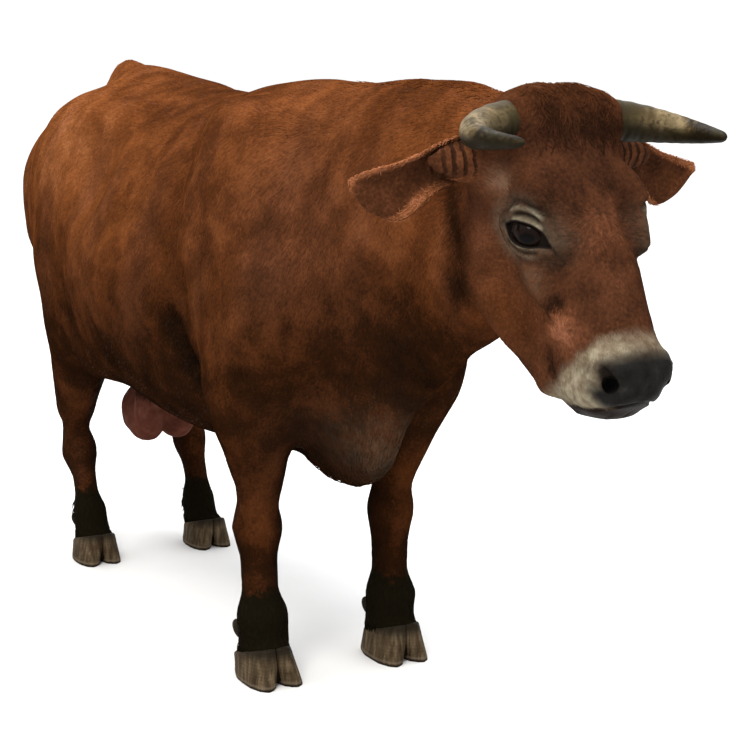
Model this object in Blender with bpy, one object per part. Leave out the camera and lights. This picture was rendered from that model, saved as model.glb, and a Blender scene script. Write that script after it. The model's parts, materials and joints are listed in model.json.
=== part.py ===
"""A standing horned cow, life size, as a museum would show it: one still body divided into its named parts.

Frame: metres, +Z up. The cow faces -Y and its left side is +X. While it is modelled, y = 0 lies midway
between the fore and hind feet. At the end all of it is moved so that the origin is on the floor under the
centre of its bounding box.

How it is made: the flesh is a list of named masses (a lofted torso, a lofted head, muscles and bones as
ellipsoids and tapered limbs). A voxel remesh fuses them, the surface is drawn onto their blended form, it is
thinned to a light mesh, and thin cuts part it into nodes. Horns, ears, eyes, hooves, dewclaws and the tail are
shapes of their own, each trimmed to the flesh that carries it.
"""

import math

import bmesh
import bpy
import numpy as np
from mathutils import Matrix, Vector

# ---------------------------------------------------------------- driving dimensions
WITHERS = 1.342  # height of the back over the shoulders
FOOT_X = 0.168  # the legs' middle planes, left and right
FORE_Y = -0.496  # the forelegs' line
HIND_Y = 0.612  # the hind fetlocks' line
KNEE_Z = 0.36
HOCK_Z = 0.30
FORE_CORONET = (0.085, 0.054)  # where the hoof begins, at the toe and at the heel
HIND_CORONET = (0.078, 0.050)

POLL = Vector((0.0, -1.38, 1.335))  # top of the head
FACE_SLOPE = math.radians(28.6)  # the face hangs this far off the vertical
EYE = Vector((0.096, 0.252, -0.061))  # in the head's own frame: side, down the face, out of the forehead
EYE_RADIUS = 0.039

GAP = 0.0003  # between neighbouring solids
VOXEL = 0.0115  # of the fused flesh
BODY_RATIO = 0.0252  # share of the fused faces that is kept
STANCE = 0.005  # the feet stand this far to the left of the trunk's middle

# ---------------------------------------------------------------- the head's own frame
# A point (side, s, h) lies s down the face from the poll and h out of the forehead's plane.
FACE_DOWN = np.array((0.0, -math.sin(FACE_SLOPE), -math.cos(FACE_SLOPE)))
FACE_OUT = np.array((0.0, -math.cos(FACE_SLOPE), math.sin(FACE_SLOPE)))
HEAD_FRAME = np.array(((1.0, 0.0, 0.0), FACE_DOWN, FACE_OUT))


def on_head(side, s, h):
    """World position of a point given in the head's frame."""
    return np.array(POLL) + np.array((side, s, h)) @ HEAD_FRAME


# ---------------------------------------------------------------- lofts
# Each station: place along the loft, top, bottom, half width, height of the widest level, roundness of the
# lower half (2 is an ellipse, less is a keel, more is a box).
TORSO = [
    ("nape", -1.30, 1.302, 1.000, 0.085, 1.17, 2.0),
    ("throat", -1.20, 1.318, 0.868, 0.106, 1.14, 2.0),
    ("upper neck", -1.10, 1.338, 0.802, 0.122, 1.12, 1.5),
    ("mid neck", -1.00, 1.343, 0.730, 0.142, 1.09, 1.3),
    ("low neck", -0.88, 1.342, 0.650, 0.172, 1.04, 1.3),
    ("breast", -0.75, 1.334, 0.540, 0.212, 0.98, 1.35),
    ("shoulder", -0.60, 1.334, 0.474, 0.268, 0.95, 1.35),
    ("withers", -0.46, WITHERS, 0.492, 0.290, 0.93, 1.5),
    ("girth", -0.30, 1.326, 0.478, 0.318, 0.90, 1.8),
    ("back", -0.12, 1.305, 0.470, 0.342, 0.88, 2.1),
    ("barrel", 0.08, 1.316, 0.486, 0.350, 0.87, 2.1),
    ("loin", 0.26, 1.340, 0.512, 0.336, 0.89, 2.1),
    ("croup", 0.46, 1.356, 0.600, 0.286, 0.95, 2.0),
    ("pin", 0.64, 1.325, 0.680, 0.208, 1.00, 2.0),
    ("seat", 0.80, 1.235, 0.780, 0.130, 1.02, 2.0),
]
TORSO_UPPER = 1.9  # roundness of the upper half
TORSO_END = 0.82  # the loft is rounded off behind this

# The same columns in the head's frame, down the face from the poll.
HEAD = [
    ("poll", -0.020, -0.006, -0.165, 0.098, -0.080, 2.2),
    ("horns", 0.055, 0.012, -0.225, 0.112, -0.080, 2.2),
    ("temples", 0.130, 0.013, -0.275, 0.110, -0.080, 2.0),
    ("brow", 0.205, 0.012, -0.304, 0.112, -0.075, 2.0),
    ("eyes", 0.265, 0.008, -0.312, 0.098, -0.100, 2.0),
    ("cheek", 0.330, 0.007, -0.296, 0.096, -0.110, 2.1),
    ("bridge", 0.400, 0.008, -0.270, 0.083, -0.105, 2.2),
    ("lips", 0.460, 0.009, -0.230, 0.073, -0.095, 2.3),
    ("nostrils", 0.515, 0.008, -0.187, 0.070, -0.080, 2.3),
    ("nose pad", 0.566, -0.004, -0.150, 0.060, -0.080, 2.2),
]
HEAD_UPPER = 2.7
HEAD_END = 0.574


def column(stations, index, at):
    """A station column as a smooth function of the place along the loft."""
    places = np.array([row[1] for row in stations])
    values = np.array([row[index] for row in stations])
    slopes = np.gradient(values, places)
    at = np.clip(at, places[0], places[-1])
    left = np.clip(np.searchsorted(places, at) - 1, 0, len(places) - 2)
    span = places[left + 1] - places[left]
    t = (at - places[left]) / span
    return (
        (2 * t**3 - 3 * t**2 + 1) * values[left]
        + (t**3 - 2 * t**2 + t) * span * slopes[left]
        + (3 * t**2 - 2 * t**3) * values[left + 1]
        + (t**3 - t**2) * span * slopes[left + 1]
    )


def loft_distance(stations, upper, side, along, height):
    """Rough distance from points to a loft, negative inside."""
    top, bottom, width, widest, lower = (column(stations, i, along) for i in range(2, 7))
    rise = height - widest
    reach = np.where(rise > 0, top - widest, widest - bottom)
    power = np.where(rise > 0, upper, lower)
    size = (np.abs(side / width) ** power + np.abs(rise / reach) ** power) ** (1 / power)
    size = np.maximum(size, 1e-4)
    surface = np.hypot(side, rise) / size
    return (size - 1) * surface


def smooth_min(a, b, blend):
    """The lesser of two distances, rounded where they meet."""
    share = np.clip(0.5 + 0.5 * (b - a) / blend, 0, 1)
    return b + (a - b) * share - blend * share * (1 - share)


def torso_distance(points):
    side, along, height = points.T
    shape = loft_distance(TORSO, TORSO_UPPER, side, along, height)
    behind = -smooth_min(-shape, TORSO_END - along, 0.16)
    return -smooth_min(-behind, along - TORSO[0][1], 0.05)


def head_distance(points):
    side, along, height = ((points - np.array(POLL)) @ HEAD_FRAME.T).T
    shape = loft_distance(HEAD, HEAD_UPPER, side, along, height)
    below = -smooth_min(-shape, HEAD_END - along, 0.05)
    return -smooth_min(-below, along - HEAD[0][1], 0.05)


# ---------------------------------------------------------------- masses
def ball(name, centre, radii, pitch=0.0, blend=0.03, paired=True, hollow=False, yaw=0.0):
    """An ellipsoid. Pitch turns it about the X axis and yaw about Z, in degrees."""
    turn = np.array(Matrix.Rotation(math.radians(yaw), 3, "Z") @ Matrix.Rotation(math.radians(pitch), 3, "X"))
    return dict(kind="ball", name=name, centre=np.array(centre, float), radii=np.array(radii, float),
                turn=turn, blend=blend, paired=paired, hollow=hollow)  # fmt: skip


def limb(name, start, end, start_radius, end_radius, blend=0.03, paired=True, hollow=False):
    """A round tapered limb from one ball to another."""
    return dict(kind="limb", name=name, start=np.array(start, float), end=np.array(end, float),
                radii=(start_radius, end_radius), blend=blend, paired=paired, hollow=hollow)  # fmt: skip


def head_ball(name, side, s, h, radii, **more):
    """An ellipsoid placed and laid out in the head's frame: radii are sideways, down the face and outwards."""
    made = ball(name, on_head(side, s, h), radii, **more)
    made["turn"] = HEAD_FRAME.T @ made["turn"]
    return made


def head_limb(name, start, end, start_radius, end_radius, **more):
    return limb(name, on_head(*start), on_head(*end), start_radius, end_radius, **more)


def foreleg():
    x, y = FOOT_X, FORE_Y
    return [
        ball("shoulder blade", (0.195, -0.52, 1.03), (0.085, 0.16, 0.28), pitch=-16, blend=0.09),
        ball("shoulder point", (0.206, -0.650, 0.83), (0.085, 0.105, 0.14), blend=0.08),
        ball("upper arm", (0.218, -0.552, 0.74), (0.085, 0.130, 0.17), pitch=14, blend=0.07),
        limb("forearm", (0.202, -0.556, 0.66), (x + 0.004, y - 0.013, 0.45), 0.104, 0.056, blend=0.05),
        ball("elbow", (0.198, -0.440, 0.68), (0.048, 0.045, 0.060), blend=0.05),
        ball("knee", (x + 0.003, y - 0.001, KNEE_Z), (0.057, 0.056, 0.078), blend=0.025),
        limb("fore cannon", (x + 0.002, y + 0.002, KNEE_Z - 0.02), (x, y + 0.002, 0.20), 0.046, 0.044, blend=0.025),
        ball("fore fetlock", (x - 0.002, y - 0.004, 0.150), (0.057, 0.057, 0.046), blend=0.03),
        limb("fore pastern", (x - 0.003, y - 0.008, 0.140), (x - 0.006, y - 0.004, 0.020), 0.057, 0.064, blend=0.02),
    ]


def hindleg():
    x, y = FOOT_X, HIND_Y
    return [
        ball("hook bone", (0.225, 0.280, 1.215), (0.055, 0.085, 0.052), blend=0.10),
        ball("haunch", (0.168, 0.530, 0.995), (0.142, 0.290, 0.290), pitch=10, blend=0.08),
        ball("buttock", (0.140, 0.770, 0.985), (0.122, 0.170, 0.228), pitch=-6, blend=0.07),
        ball("pin bone", (0.080, 0.815, 1.145), (0.045, 0.056, 0.055), blend=0.06),
        ball("thigh", (0.205, 0.475, 0.805), (0.105, 0.205, 0.215), pitch=-14, blend=0.07),
        ball("stifle", (0.210, 0.335, 0.690), (0.072, 0.080, 0.100), blend=0.07),
        limb("gaskin", (0.198, 0.516, 0.680), (0.172, 0.684, 0.415), 0.104, 0.055, blend=0.06),
        limb("hamstring", (0.185, 0.684, 0.670), (x, 0.740, 0.410), 0.044, 0.025, blend=0.04),
        ball("hock", (x, 0.683, HOCK_Z), (0.050, 0.055, 0.068), blend=0.03),
        limb("heel bone", (x, 0.734, 0.395), (x, 0.709, 0.310), 0.026, 0.034, blend=0.025),
        limb("hind cannon", (x, 0.674, 0.280), (x, y + 0.020, 0.175), 0.040, 0.034, blend=0.025),
        ball("hind fetlock", (x - 0.002, y + 0.012, 0.134), (0.044, 0.044, 0.042), blend=0.03),
        limb("hind pastern", (x - 0.003, y + 0.006, 0.120), (x - 0.005, y - 0.024, 0.020), 0.046, 0.058, blend=0.02),
    ]


def trunk():
    return [
        limb("tail head", (0, 0.42, 1.300), (0, 0.640, 1.334), 0.042, 0.048, blend=0.05, paired=False),
        limb("tail root", (0, 0.640, 1.332), (0, 0.800, 1.235), 0.046, 0.040, blend=0.04, paired=False),
        ball("flank hollow", (0.330, 0.200, 1.130), (0.070, 0.110, 0.110), blend=0.10, hollow=True),
        ball("girth hollow", (0.345, -0.330, 0.700), (0.060, 0.060, 0.220), pitch=10, blend=0.08, hollow=True),
        ball("flank fold", (0.235, 0.235, 0.665), (0.055, 0.140, 0.080), pitch=-24, blend=0.06),
        ball("brisket", (0, -0.620, 0.560), (0.054, 0.175, 0.100), pitch=-4, blend=0.06, paired=False),
        ball("shoulder groove", (0.285, -0.800, 1.040), (0.080, 0.070, 0.260), pitch=-20, blend=0.10, hollow=True),
        ball("thigh split", (0, 0.960, 0.780), (0.035, 0.120, 0.260), blend=0.06, paired=False, hollow=True),
        ball("groin", (0, 0.650, 0.585), (0.102, 0.125, 0.205), blend=0.05, paired=False, hollow=True),
    ]


def udder():
    return [
        ball("hind quarter", (0.047, 0.534, 0.424), (0.047, 0.054, 0.074), blend=0.014),
        ball("fore quarter", (0.047, 0.430, 0.450), (0.048, 0.060, 0.074), blend=0.014),
        ball("udder root", (0, 0.455, 0.535), (0.080, 0.095, 0.055), blend=0.04, paired=False),
    ]


def face():
    eye = EYE
    return [
        limb("horn boss", (0.040, -1.378, 1.272), (0.084, -1.381, 1.271), 0.053, 0.050, blend=0.035),
        limb("ear root", (0.085, -1.330, 1.196), (0.176, -1.324, 1.207), 0.050, 0.037, blend=0.035),
        head_ball("temple", 0.088, 0.150, -0.115, (0.040, 0.070, 0.070), blend=0.04),
        head_ball("brow ridge", 0.098, 0.205, -0.020, (0.028, 0.046, 0.022), blend=0.035),
        head_ball("eye mound", eye.x - 0.004, eye.y - 0.004, eye.z, (0.033, 0.046, 0.042), blend=0.028),
        head_ball("cheek muscle", 0.078, 0.215, -0.216, (0.042, 0.100, 0.095), blend=0.05),
        head_limb("cheek bone", (0.092, 0.290, -0.085), (0.074, 0.400, -0.080), 0.022, 0.016, blend=0.035),
        head_limb("jaw", (0.070, 0.250, -0.268), (0.036, 0.470, -0.202), 0.040, 0.032, blend=0.04),
        head_limb("bridge", (0, 0.270, -0.032), (0, 0.500, -0.034), 0.041, 0.040, blend=0.04, paired=False),
        head_ball("muzzle", 0, 0.522, -0.045, (0.070, 0.044, 0.054), blend=0.035, paired=False),
        head_ball("nostril wing", 0.048, 0.524, -0.026, (0.026, 0.034, 0.034), blend=0.02),
        head_ball("upper lip", 0, 0.526, -0.092, (0.066, 0.042, 0.042), blend=0.03, paired=False),
        head_ball("chin", 0, 0.508, -0.143, (0.052, 0.044, 0.036), blend=0.03, paired=False),
        head_ball("cheek hollow", 0.120, 0.400, -0.145, (0.030, 0.055, 0.040), blend=0.05, hollow=True),
        head_ball("nostril", 0.055, 0.560, -0.020, (0.013, 0.018, 0.020), blend=0.012, hollow=True),
        head_ball("tear hollow", 0.108, 0.318, -0.022, (0.014, 0.024, 0.014), blend=0.03, hollow=True),
        head_ball("eye slit", 0.123, 0.259, -0.046, (0.022, 0.053, 0.0165), pitch=40, yaw=22, blend=0.006, hollow=True),
    ]


MASSES = foreleg() + hindleg() + trunk() + udder() + face()


def mass_distance(mass, points):
    """Rough distance from points to one mass, negative inside."""
    if mass["kind"] == "ball":
        local = (points - mass["centre"]) @ mass["turn"]
        scaled = np.linalg.norm(local / mass["radii"], axis=1)
        steep = np.linalg.norm(local / mass["radii"] ** 2, axis=1)
        return scaled * (scaled - 1) / np.maximum(steep, 1e-6)
    run = mass["end"] - mass["start"]
    share = np.clip((points - mass["start"]) @ run / (run @ run), 0, 1)
    first, last = mass["radii"]
    return np.linalg.norm(points - mass["start"] - share[:, None] * run, axis=1) - (first + (last - first) * share)


def flesh_distance(points):
    """Rough distance from points to the blended flesh, negative inside."""
    distance = smooth_min(torso_distance(points), head_distance(points), 0.07)
    mirrored = points * (-1, 1, 1)
    for mass in MASSES:
        for place in (points, mirrored) if mass["paired"] else (points,):
            one = mass_distance(mass, place)
            if mass["hollow"]:
                distance = -smooth_min(-distance, one, mass["blend"])
            else:
                distance = smooth_min(distance, one, mass["blend"])
    return distance


# ---------------------------------------------------------------- Blender helpers
def clear_scene():
    for thing in list(bpy.data.objects):
        bpy.data.objects.remove(thing, do_unlink=True)


def new_object(name, shape):
    """An object from a bmesh, which it uses up."""
    mesh = bpy.data.meshes.new(name)
    shape.to_mesh(mesh)
    shape.free()
    made = bpy.data.objects.new(name, mesh)
    bpy.context.scene.collection.objects.link(made)
    return made


def settle(thing):
    """Applies a thing's modifiers to its mesh."""
    graph = bpy.context.evaluated_depsgraph_get()
    mesh = bpy.data.meshes.new_from_object(thing.evaluated_get(graph))
    thing.modifiers.clear()
    thing.data = mesh
    return thing


def remove(thing):
    bpy.data.objects.remove(thing, do_unlink=True)


def copy_of(thing, name):
    made = thing.copy()
    made.data = thing.data.copy()
    made.name = name
    bpy.context.scene.collection.objects.link(made)
    return made


def swell(thing, depth):
    """Moves a thing's surface out along its normals."""
    thing.data.update()
    shape = bmesh.new()
    shape.from_mesh(thing.data)
    shape.normal_update()
    for vert in shape.verts:
        vert.co += vert.normal * depth
    shape.to_mesh(thing.data)
    shape.free()
    return thing


def boolean(thing, cutter, operation):
    cut = thing.modifiers.new("cut", "BOOLEAN")
    cut.operation = operation
    cut.solver = "EXACT"
    cut.object = cutter
    bpy.context.view_layer.update()
    return settle(thing)


# ---------------------------------------------------------------- the fused flesh
def add_ball(shape, mass, side):
    matrix = Matrix.Translation(mass["centre"]) @ Matrix(mass["turn"].tolist()).to_4x4()
    matrix = matrix @ Matrix.Diagonal((*mass["radii"], 1))
    mirror = Matrix.Diagonal((side, 1, 1, 1))
    bmesh.ops.create_icosphere(shape, subdivisions=3, radius=1, matrix=mirror @ matrix)


def add_limb(shape, mass, side):
    first, last = mass["radii"]
    run = Vector(mass["end"] - mass["start"])
    for centre, radius in ((mass["start"], first), (mass["end"], last)):
        place = Matrix.Diagonal((side, 1, 1, 1)) @ Matrix.Translation(centre)
        bmesh.ops.create_icosphere(shape, subdivisions=3, radius=radius, matrix=place)
    matrix = Matrix.Translation((mass["start"] + mass["end"]) / 2) @ run.to_track_quat("Z", "Y").to_matrix().to_4x4()
    bmesh.ops.create_cone(
        shape, cap_ends=True, segments=24, radius1=first, radius2=last, depth=run.length,
        matrix=Matrix.Diagonal((side, 1, 1, 1)) @ matrix,
    )  # fmt: skip


def add_loft(shape, stations, upper, to_world, end):
    """Rings of the loft's outline, bridged and capped."""
    around = np.linspace(0, 2 * math.pi, 48, endpoint=False)
    rings = []
    places = np.linspace(stations[0][1] + 0.01, end - 0.03, 40)
    for place in places:
        top, bottom, width, widest, lower = (float(column(stations, i, np.array(place))) for i in range(2, 7))
        ring = []
        for angle in around:
            side, rise = math.cos(angle), math.sin(angle)
            power = upper if rise > 0 else lower
            reach = top - widest if rise > 0 else widest - bottom
            size = (abs(side / width) ** power + abs(rise / reach) ** power) ** (1 / power)
            ring.append(shape.verts.new(to_world(side / size, place, widest + rise / size)))
        rings.append([shape.edges.new((a, b)) for a, b in zip(ring, ring[1:] + ring[:1])])
    for near, far in zip(rings, rings[1:]):
        bmesh.ops.bridge_loops(shape, edges=near + far)
    bmesh.ops.holes_fill(shape, edges=rings[0] + rings[-1])


def drawn_onto_flesh(thing, rounds):
    """Moves a mesh's points onto the blended flesh, evening them out between the moves."""
    step = 0.0005
    shape = bmesh.new()
    shape.from_mesh(thing.data)
    for _ in range(rounds):
        bmesh.ops.smooth_vert(shape, verts=shape.verts, factor=0.5, use_axis_x=True, use_axis_y=True, use_axis_z=True)
        points = np.array([vert.co for vert in shape.verts])
        here = flesh_distance(points)
        slope = np.stack([(flesh_distance(points + step * axis) - here) / step for axis in np.eye(3)], 1)
        steep = np.maximum((slope**2).sum(1), 0.25)
        points -= slope * (np.clip(here, -0.03, 0.03) / steep)[:, None]
        for vert, point in zip(shape.verts, points):
            vert.co = point
    bmesh.ops.recalc_face_normals(shape, faces=shape.faces)
    shape.to_mesh(thing.data)
    shape.free()
    return thing


def fused_flesh():
    shape = bmesh.new()
    add_loft(shape, TORSO, TORSO_UPPER, lambda side, place, height: (side, place, height), TORSO_END)
    add_loft(shape, HEAD, HEAD_UPPER, lambda side, place, height: on_head(side, place, height), HEAD_END)
    for mass in MASSES:
        if mass["hollow"]:
            continue
        for side in (1, -1) if mass["paired"] else (1,):
            (add_ball if mass["kind"] == "ball" else add_limb)(shape, mass, side)
    bmesh.ops.recalc_face_normals(shape, faces=shape.faces)
    flesh = new_object("flesh", shape)
    fuse = flesh.modifiers.new("fuse", "REMESH")
    fuse.mode = "VOXEL"
    fuse.voxel_size = VOXEL
    settle(flesh)
    return drawn_onto_flesh(flesh, 6)


def grown_copy(thing, name):
    """A copy that stands out by the gap, for cutting its neighbours clear of it."""
    return swell(copy_of(thing, name), GAP)


def keep_largest(thing):
    """Drops every island of a mesh but the one with the most faces."""
    shape = bmesh.new()
    shape.from_mesh(thing.data)
    left = set(shape.verts)
    islands = []
    while left:
        seed = left.pop()
        island, edge = {seed}, [seed]
        while edge:
            vert = edge.pop()
            for link in vert.link_edges:
                other = link.other_vert(vert)
                if other in left:
                    left.remove(other)
                    island.add(other)
                    edge.append(other)
        islands.append(island)
    islands.sort(key=len)
    for island in islands[:-1]:
        bmesh.ops.delete(shape, geom=list(island), context="VERTS")
    shape.to_mesh(thing.data)
    shape.free()
    return thing


# ---------------------------------------------------------------- thinning and parting
def thinned(flesh):
    """A light mesh of the flesh, with the head kept denser."""
    group = flesh.vertex_groups.new(name="thin")
    for vert in flesh.data.vertices:
        ahead = min(max((-1.16 - vert.co.y) / 0.12, 0), 1)
        low = min(max((0.50 - vert.co.z) / 0.10, 0), 1)
        group.add([vert.index], 1 - 0.80 * ahead - 0.25 * low, "REPLACE")
    thin = flesh.modifiers.new("thin", "DECIMATE")
    thin.ratio = BODY_RATIO
    thin.vertex_group = "thin"
    thin.vertex_group_factor = 0.01
    thin.use_collapse_triangulate = True
    settle(flesh)
    flesh.vertex_groups.clear()
    return flesh


def box_cutter(name, centre, half, pitch=0.0, more=0.0):
    """A closed box turned about the X axis by pitch degrees."""
    turn = Matrix.Rotation(math.radians(pitch), 4, "X")
    size = Matrix.Diagonal((*(2 * (side + more) for side in half), 1))
    shape = bmesh.new()
    bmesh.ops.create_cube(shape, size=1, matrix=Matrix.Translation(centre) @ turn @ size)
    return new_object(name, shape)


def leg_cuts(name, side, x, y, elbow, elbow_y, mid, low, coronet, toe, heel):
    """Boxes that take one leg's pieces off, from the foot up: (node, centre, half sizes, pitch)."""
    slope = math.degrees(math.atan2(coronet[1] - coronet[0], heel - toe))
    wide = 0.100
    foot = ((toe + heel) / 2, (coronet[0] + coronet[1]) / 2)
    sunk = 0.30
    run = math.radians(slope)
    return [
        (None, (side * x, foot[0] + sunk * math.sin(run), foot[1] - sunk * math.cos(run)), (wide, 0.30, sunk), slope),
        (f"{name}_pastern", (side * x, y, low - 0.30), (wide, 0.22, 0.30), 0),
        (f"{name}_cannon", (side * x, y, mid - 0.30), (wide, 0.30, 0.30), 0),
        (f"{name}_leg", (side * (x + 0.09), elbow_y, elbow - 0.30), (0.165, 0.230, 0.30), 0),
    ]


def parted(flesh):
    """Cuts the flesh into its nodes with thin gaps between them."""
    cuts = []
    for word, side in (("right", -1), ("left", 1)):
        cuts += leg_cuts(
            f"{word}_fore", side, FOOT_X, FORE_Y, 0.600, -0.505, KNEE_Z + 0.01, 0.185, FORE_CORONET, -0.545, -0.440
        )
        cuts += leg_cuts(
            f"{word}_hind", side, FOOT_X, HIND_Y + 0.03, 0.600, 0.640, HOCK_Z + 0.01, 0.160, HIND_CORONET, 0.552, 0.650
        )
    jaw_pitch = 270 - math.degrees(FACE_SLOPE) - 5
    cuts += [
        ("udder", (0, 0.450, 0.300), (0.130, 0.150, 0.172), 0),
        ("lower_jaw", tuple(on_head(0, 0.490, -0.118 - 0.100)), (0.200, 0.130, 0.100), jaw_pitch),
        ("head", (0, -1.608, 1.033), (0.40, 0.40, 0.60), 14),
        ("neck", (0, -1.20, 0.90), (0.60, 0.40, 1.00), 0),
        ("chest", (0, -0.60, 0.90), (0.60, 0.40, 1.00), 0),
        ("hindquarters", (0, 0.80, 0.90), (0.60, 0.50, 1.00), 0),
    ]
    pieces = []
    for node, centre, half, pitch in cuts:
        if node:
            piece = copy_of(flesh, node)
            cutter = box_cutter("cutter", centre, half, pitch)
            boolean(piece, cutter, "INTERSECT")
            keep_largest(piece)
            pieces.append(piece)
            remove(cutter)
        cutter = box_cutter("cutter", centre, half, pitch, GAP if node else 0.0)
        boolean(flesh, cutter, "DIFFERENCE")
        remove(cutter)
    flesh.name = "barrel"
    keep_largest(flesh)
    return pieces + [flesh]


# ---------------------------------------------------------------- horns, ears, eyes, feet and tail
def bezier(points, t):
    """A point on the Bezier curve through the first and last of the given points."""
    points = [Vector(point) for point in points]
    while len(points) > 1:
        points = [a.lerp(b, t) for a, b in zip(points, points[1:])]
    return points[0]


def skinned_rings(name, rings):
    """A closed body over rings of equal count, capped at both ends."""
    shape = bmesh.new()
    rows = [[shape.verts.new(point) for point in ring] for ring in rings]
    for near, far in zip(rows, rows[1:]):
        for i in range(len(near)):
            j = (i + 1) % len(near)
            shape.faces.new((near[i], near[j], far[j], far[i]))
    shape.faces.new(rows[0][::-1])
    shape.faces.new(rows[-1])
    bmesh.ops.recalc_face_normals(shape, faces=shape.faces)
    bmesh.ops.triangulate(shape, faces=shape.faces)
    return new_object(name, shape)


def swept(name, path, radius, steps, around, flat=1.0):
    """A round body along a Bezier path. Radius is a function of the share of the way along it."""
    rings = []
    for i in range(steps + 1):
        t = i / steps
        centre = bezier(path, t)
        ahead = (bezier(path, min(t + 0.01, 1)) - bezier(path, max(t - 0.01, 0))).normalized()
        across = ahead.cross(Vector((0, 0, 1)) if abs(ahead.z) < 0.9 else Vector((0, 1, 0))).normalized()
        over = across.cross(ahead)
        r = radius(t)
        ring = []
        for j in range(around):
            angle = 2 * math.pi * j / around
            ring.append(centre + across * (r * math.cos(angle)) + over * (r * flat * math.sin(angle)))
        rings.append(ring)
    return skinned_rings(name, rings)


HORN_PATH = [(0.070, -1.378, 1.274), (0.170, -1.385, 1.270), (0.262, -1.420, 1.248), (0.205, -1.578, 1.246)]
HORN_BASE = 0.039
HORN_TIP = 0.009


def horn(name, side):
    path = [(side * x, y, z) for x, y, z in HORN_PATH]
    return swept(
        name, path, lambda t: HORN_TIP + (HORN_BASE - HORN_TIP) * (1 - t**1.6) if t < 0.999 else 0.005, 9, 9
    )


# Stations of the ear from root to tip: share of its length, upper edge, lower edge, how deep it is cupped.
EAR_ROOT = (0.128, -1.332, 1.218)
EAR_TIP = (0.370, -1.306, 1.172)
EAR_LIFT = 0.006  # the left ear's tip is held this much higher
EAR_STATIONS = [
    (0.00, 0.040, -0.040, 0.040),
    (0.16, 0.040, -0.038, 0.040),
    (0.32, 0.034, -0.050, 0.034),
    (0.48, 0.024, -0.074, 0.027),
    (0.64, 0.015, -0.085, 0.020),
    (0.80, 0.011, -0.074, 0.013),
    (0.92, 0.007, -0.046, 0.007),
    (1.00, 0.001, -0.012, 0.002),
]
EAR_THICK = 0.0075


def ear(name, side):
    """A cupped leaf that opens forwards, with its lower lobe hanging."""
    root, tip = Vector(EAR_ROOT), Vector(EAR_TIP) + Vector((0, 0, EAR_LIFT * (side > 0)))
    along = (tip - root).normalized()
    back = Vector((-0.12, 0.95, 0.28)).normalized()
    back = (back - along * back.dot(along)).normalized()
    up = back.cross(along)
    up = up if up.z > 0 else -up
    across = 6
    rings = []
    for share, top, bottom, cup in EAR_STATIONS:
        middle = root.lerp(tip, share)
        thick = EAR_THICK * (1 - 0.45 * share)
        outer, inner = [], []
        for i in range(across + 1):
            t = i / across
            rise = top + (bottom - top) * t
            bow = 4 * t * (1 - t)
            lean = cup * (bow - 0.55) + 0.012 * (1 - t) ** 3
            edge = math.sqrt(max(bow, 0.10))
            point = middle + up * rise + back * lean
            outer.append(point + back * (thick * edge / 2))
            inner.append(point - back * (thick * edge / 2))
        rings.append([Vector((side * p.x, p.y, p.z)) for p in outer + inner[::-1]])
    return skinned_rings(name, rings)


def ellipsoid(name, centre, radii, turn=None, rings=8, segments=12):
    shape = bmesh.new()
    matrix = Matrix.Translation(centre) @ (turn or Matrix.Identity(4)) @ Matrix.Diagonal((*radii, 1))
    bmesh.ops.create_uvsphere(shape, u_segments=segments, v_segments=rings, radius=1, matrix=matrix)
    bmesh.ops.triangulate(shape, faces=shape.faces)
    return new_object(name, shape)


# The outline of one claw's sole, as shares of the foot's half width (outwards) and length (heel to toe).
CLAW_SOLE = [
    (0.05, 0.06), (0.03, 0.35), (0.03, 0.66), (0.12, 0.86), (0.34, 0.96), (0.57, 1.00), (0.80, 0.92),
    (0.96, 0.74), (1.00, 0.52), (0.95, 0.28), (0.76, 0.06), (0.36, 0.00),
]  # fmt: skip
CLAW_TOP = [
    (0.04, 0.12), (0.03, 0.35), (0.03, 0.62), (0.08, 0.82), (0.22, 0.88), (0.44, 0.85), (0.66, 0.74),
    (0.82, 0.58), (0.87, 0.40), (0.82, 0.22), (0.62, 0.08), (0.30, 0.06),
]  # fmt: skip


def claw(name, x, out, toe, heel, half, coronet, lean=0.0):
    """One claw of a hoof: a flat sole, a wall that leans back and a slanted top.

    out is its side of the foot, and lean moves the sole to the left of the top.
    """
    length = heel - toe
    rings = []
    for share in (0.0, 0.08, 0.50, 1.0):
        ring = []
        for sole, top in zip(CLAW_SOLE, CLAW_TOP):
            bow = share**0.85
            wide = sole[0] + (top[0] - sole[0]) * bow
            fore = sole[1] + (top[1] - sole[1]) * bow
            if share == 0:
                wide, fore = 0.5 + (wide - 0.5) * 0.96, 0.5 + (fore - 0.5) * 0.98
            y = heel - fore * length
            rim = coronet[0] + (coronet[1] - coronet[0]) * (y - coronet[2]) / (coronet[3] - coronet[2])
            ring.append((x + out * half * wide + lean * (1 - share), y, share * (rim - GAP)))
        rings.append(ring)
    return skinned_rings(name, rings)


def foot(word, side, rear):
    """The two claws and two dewclaws of one foot."""
    made = []
    if rear:
        toe, heel, half, coronet = 0.497, 0.648, 0.062, (*HIND_CORONET, 0.545, 0.648)
        dew_y, dew_z, dew = HIND_Y + 0.042, 0.098, 0.85
    else:
        toe, heel, half, coronet = -0.599, -0.430, 0.066, (*FORE_CORONET, -0.548, -0.440)
        dew_y, dew_z, dew = FORE_Y + 0.046, 0.104, 1.0
    for place, out in (("outer", side), ("inner", -side)):
        shift = 0.009 if side < 0 and not rear else 0.0
        made.append(claw(f"{word}_{place}_claw", side * FOOT_X, out, toe, heel, half, coronet, shift))
        lean = Matrix.Rotation(math.radians(-38), 4, "X") @ Matrix.Rotation(math.radians(out * 14), 4, "Y")
        x = side * FOOT_X + out * 0.029 * dew
        made.append(
            ellipsoid(
                f"{word}_{place}_dewclaw", (x, dew_y, dew_z), (0.015 * dew, 0.016 * dew, 0.027 * dew), lean, 4, 7
            )
        )
    return made


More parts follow.
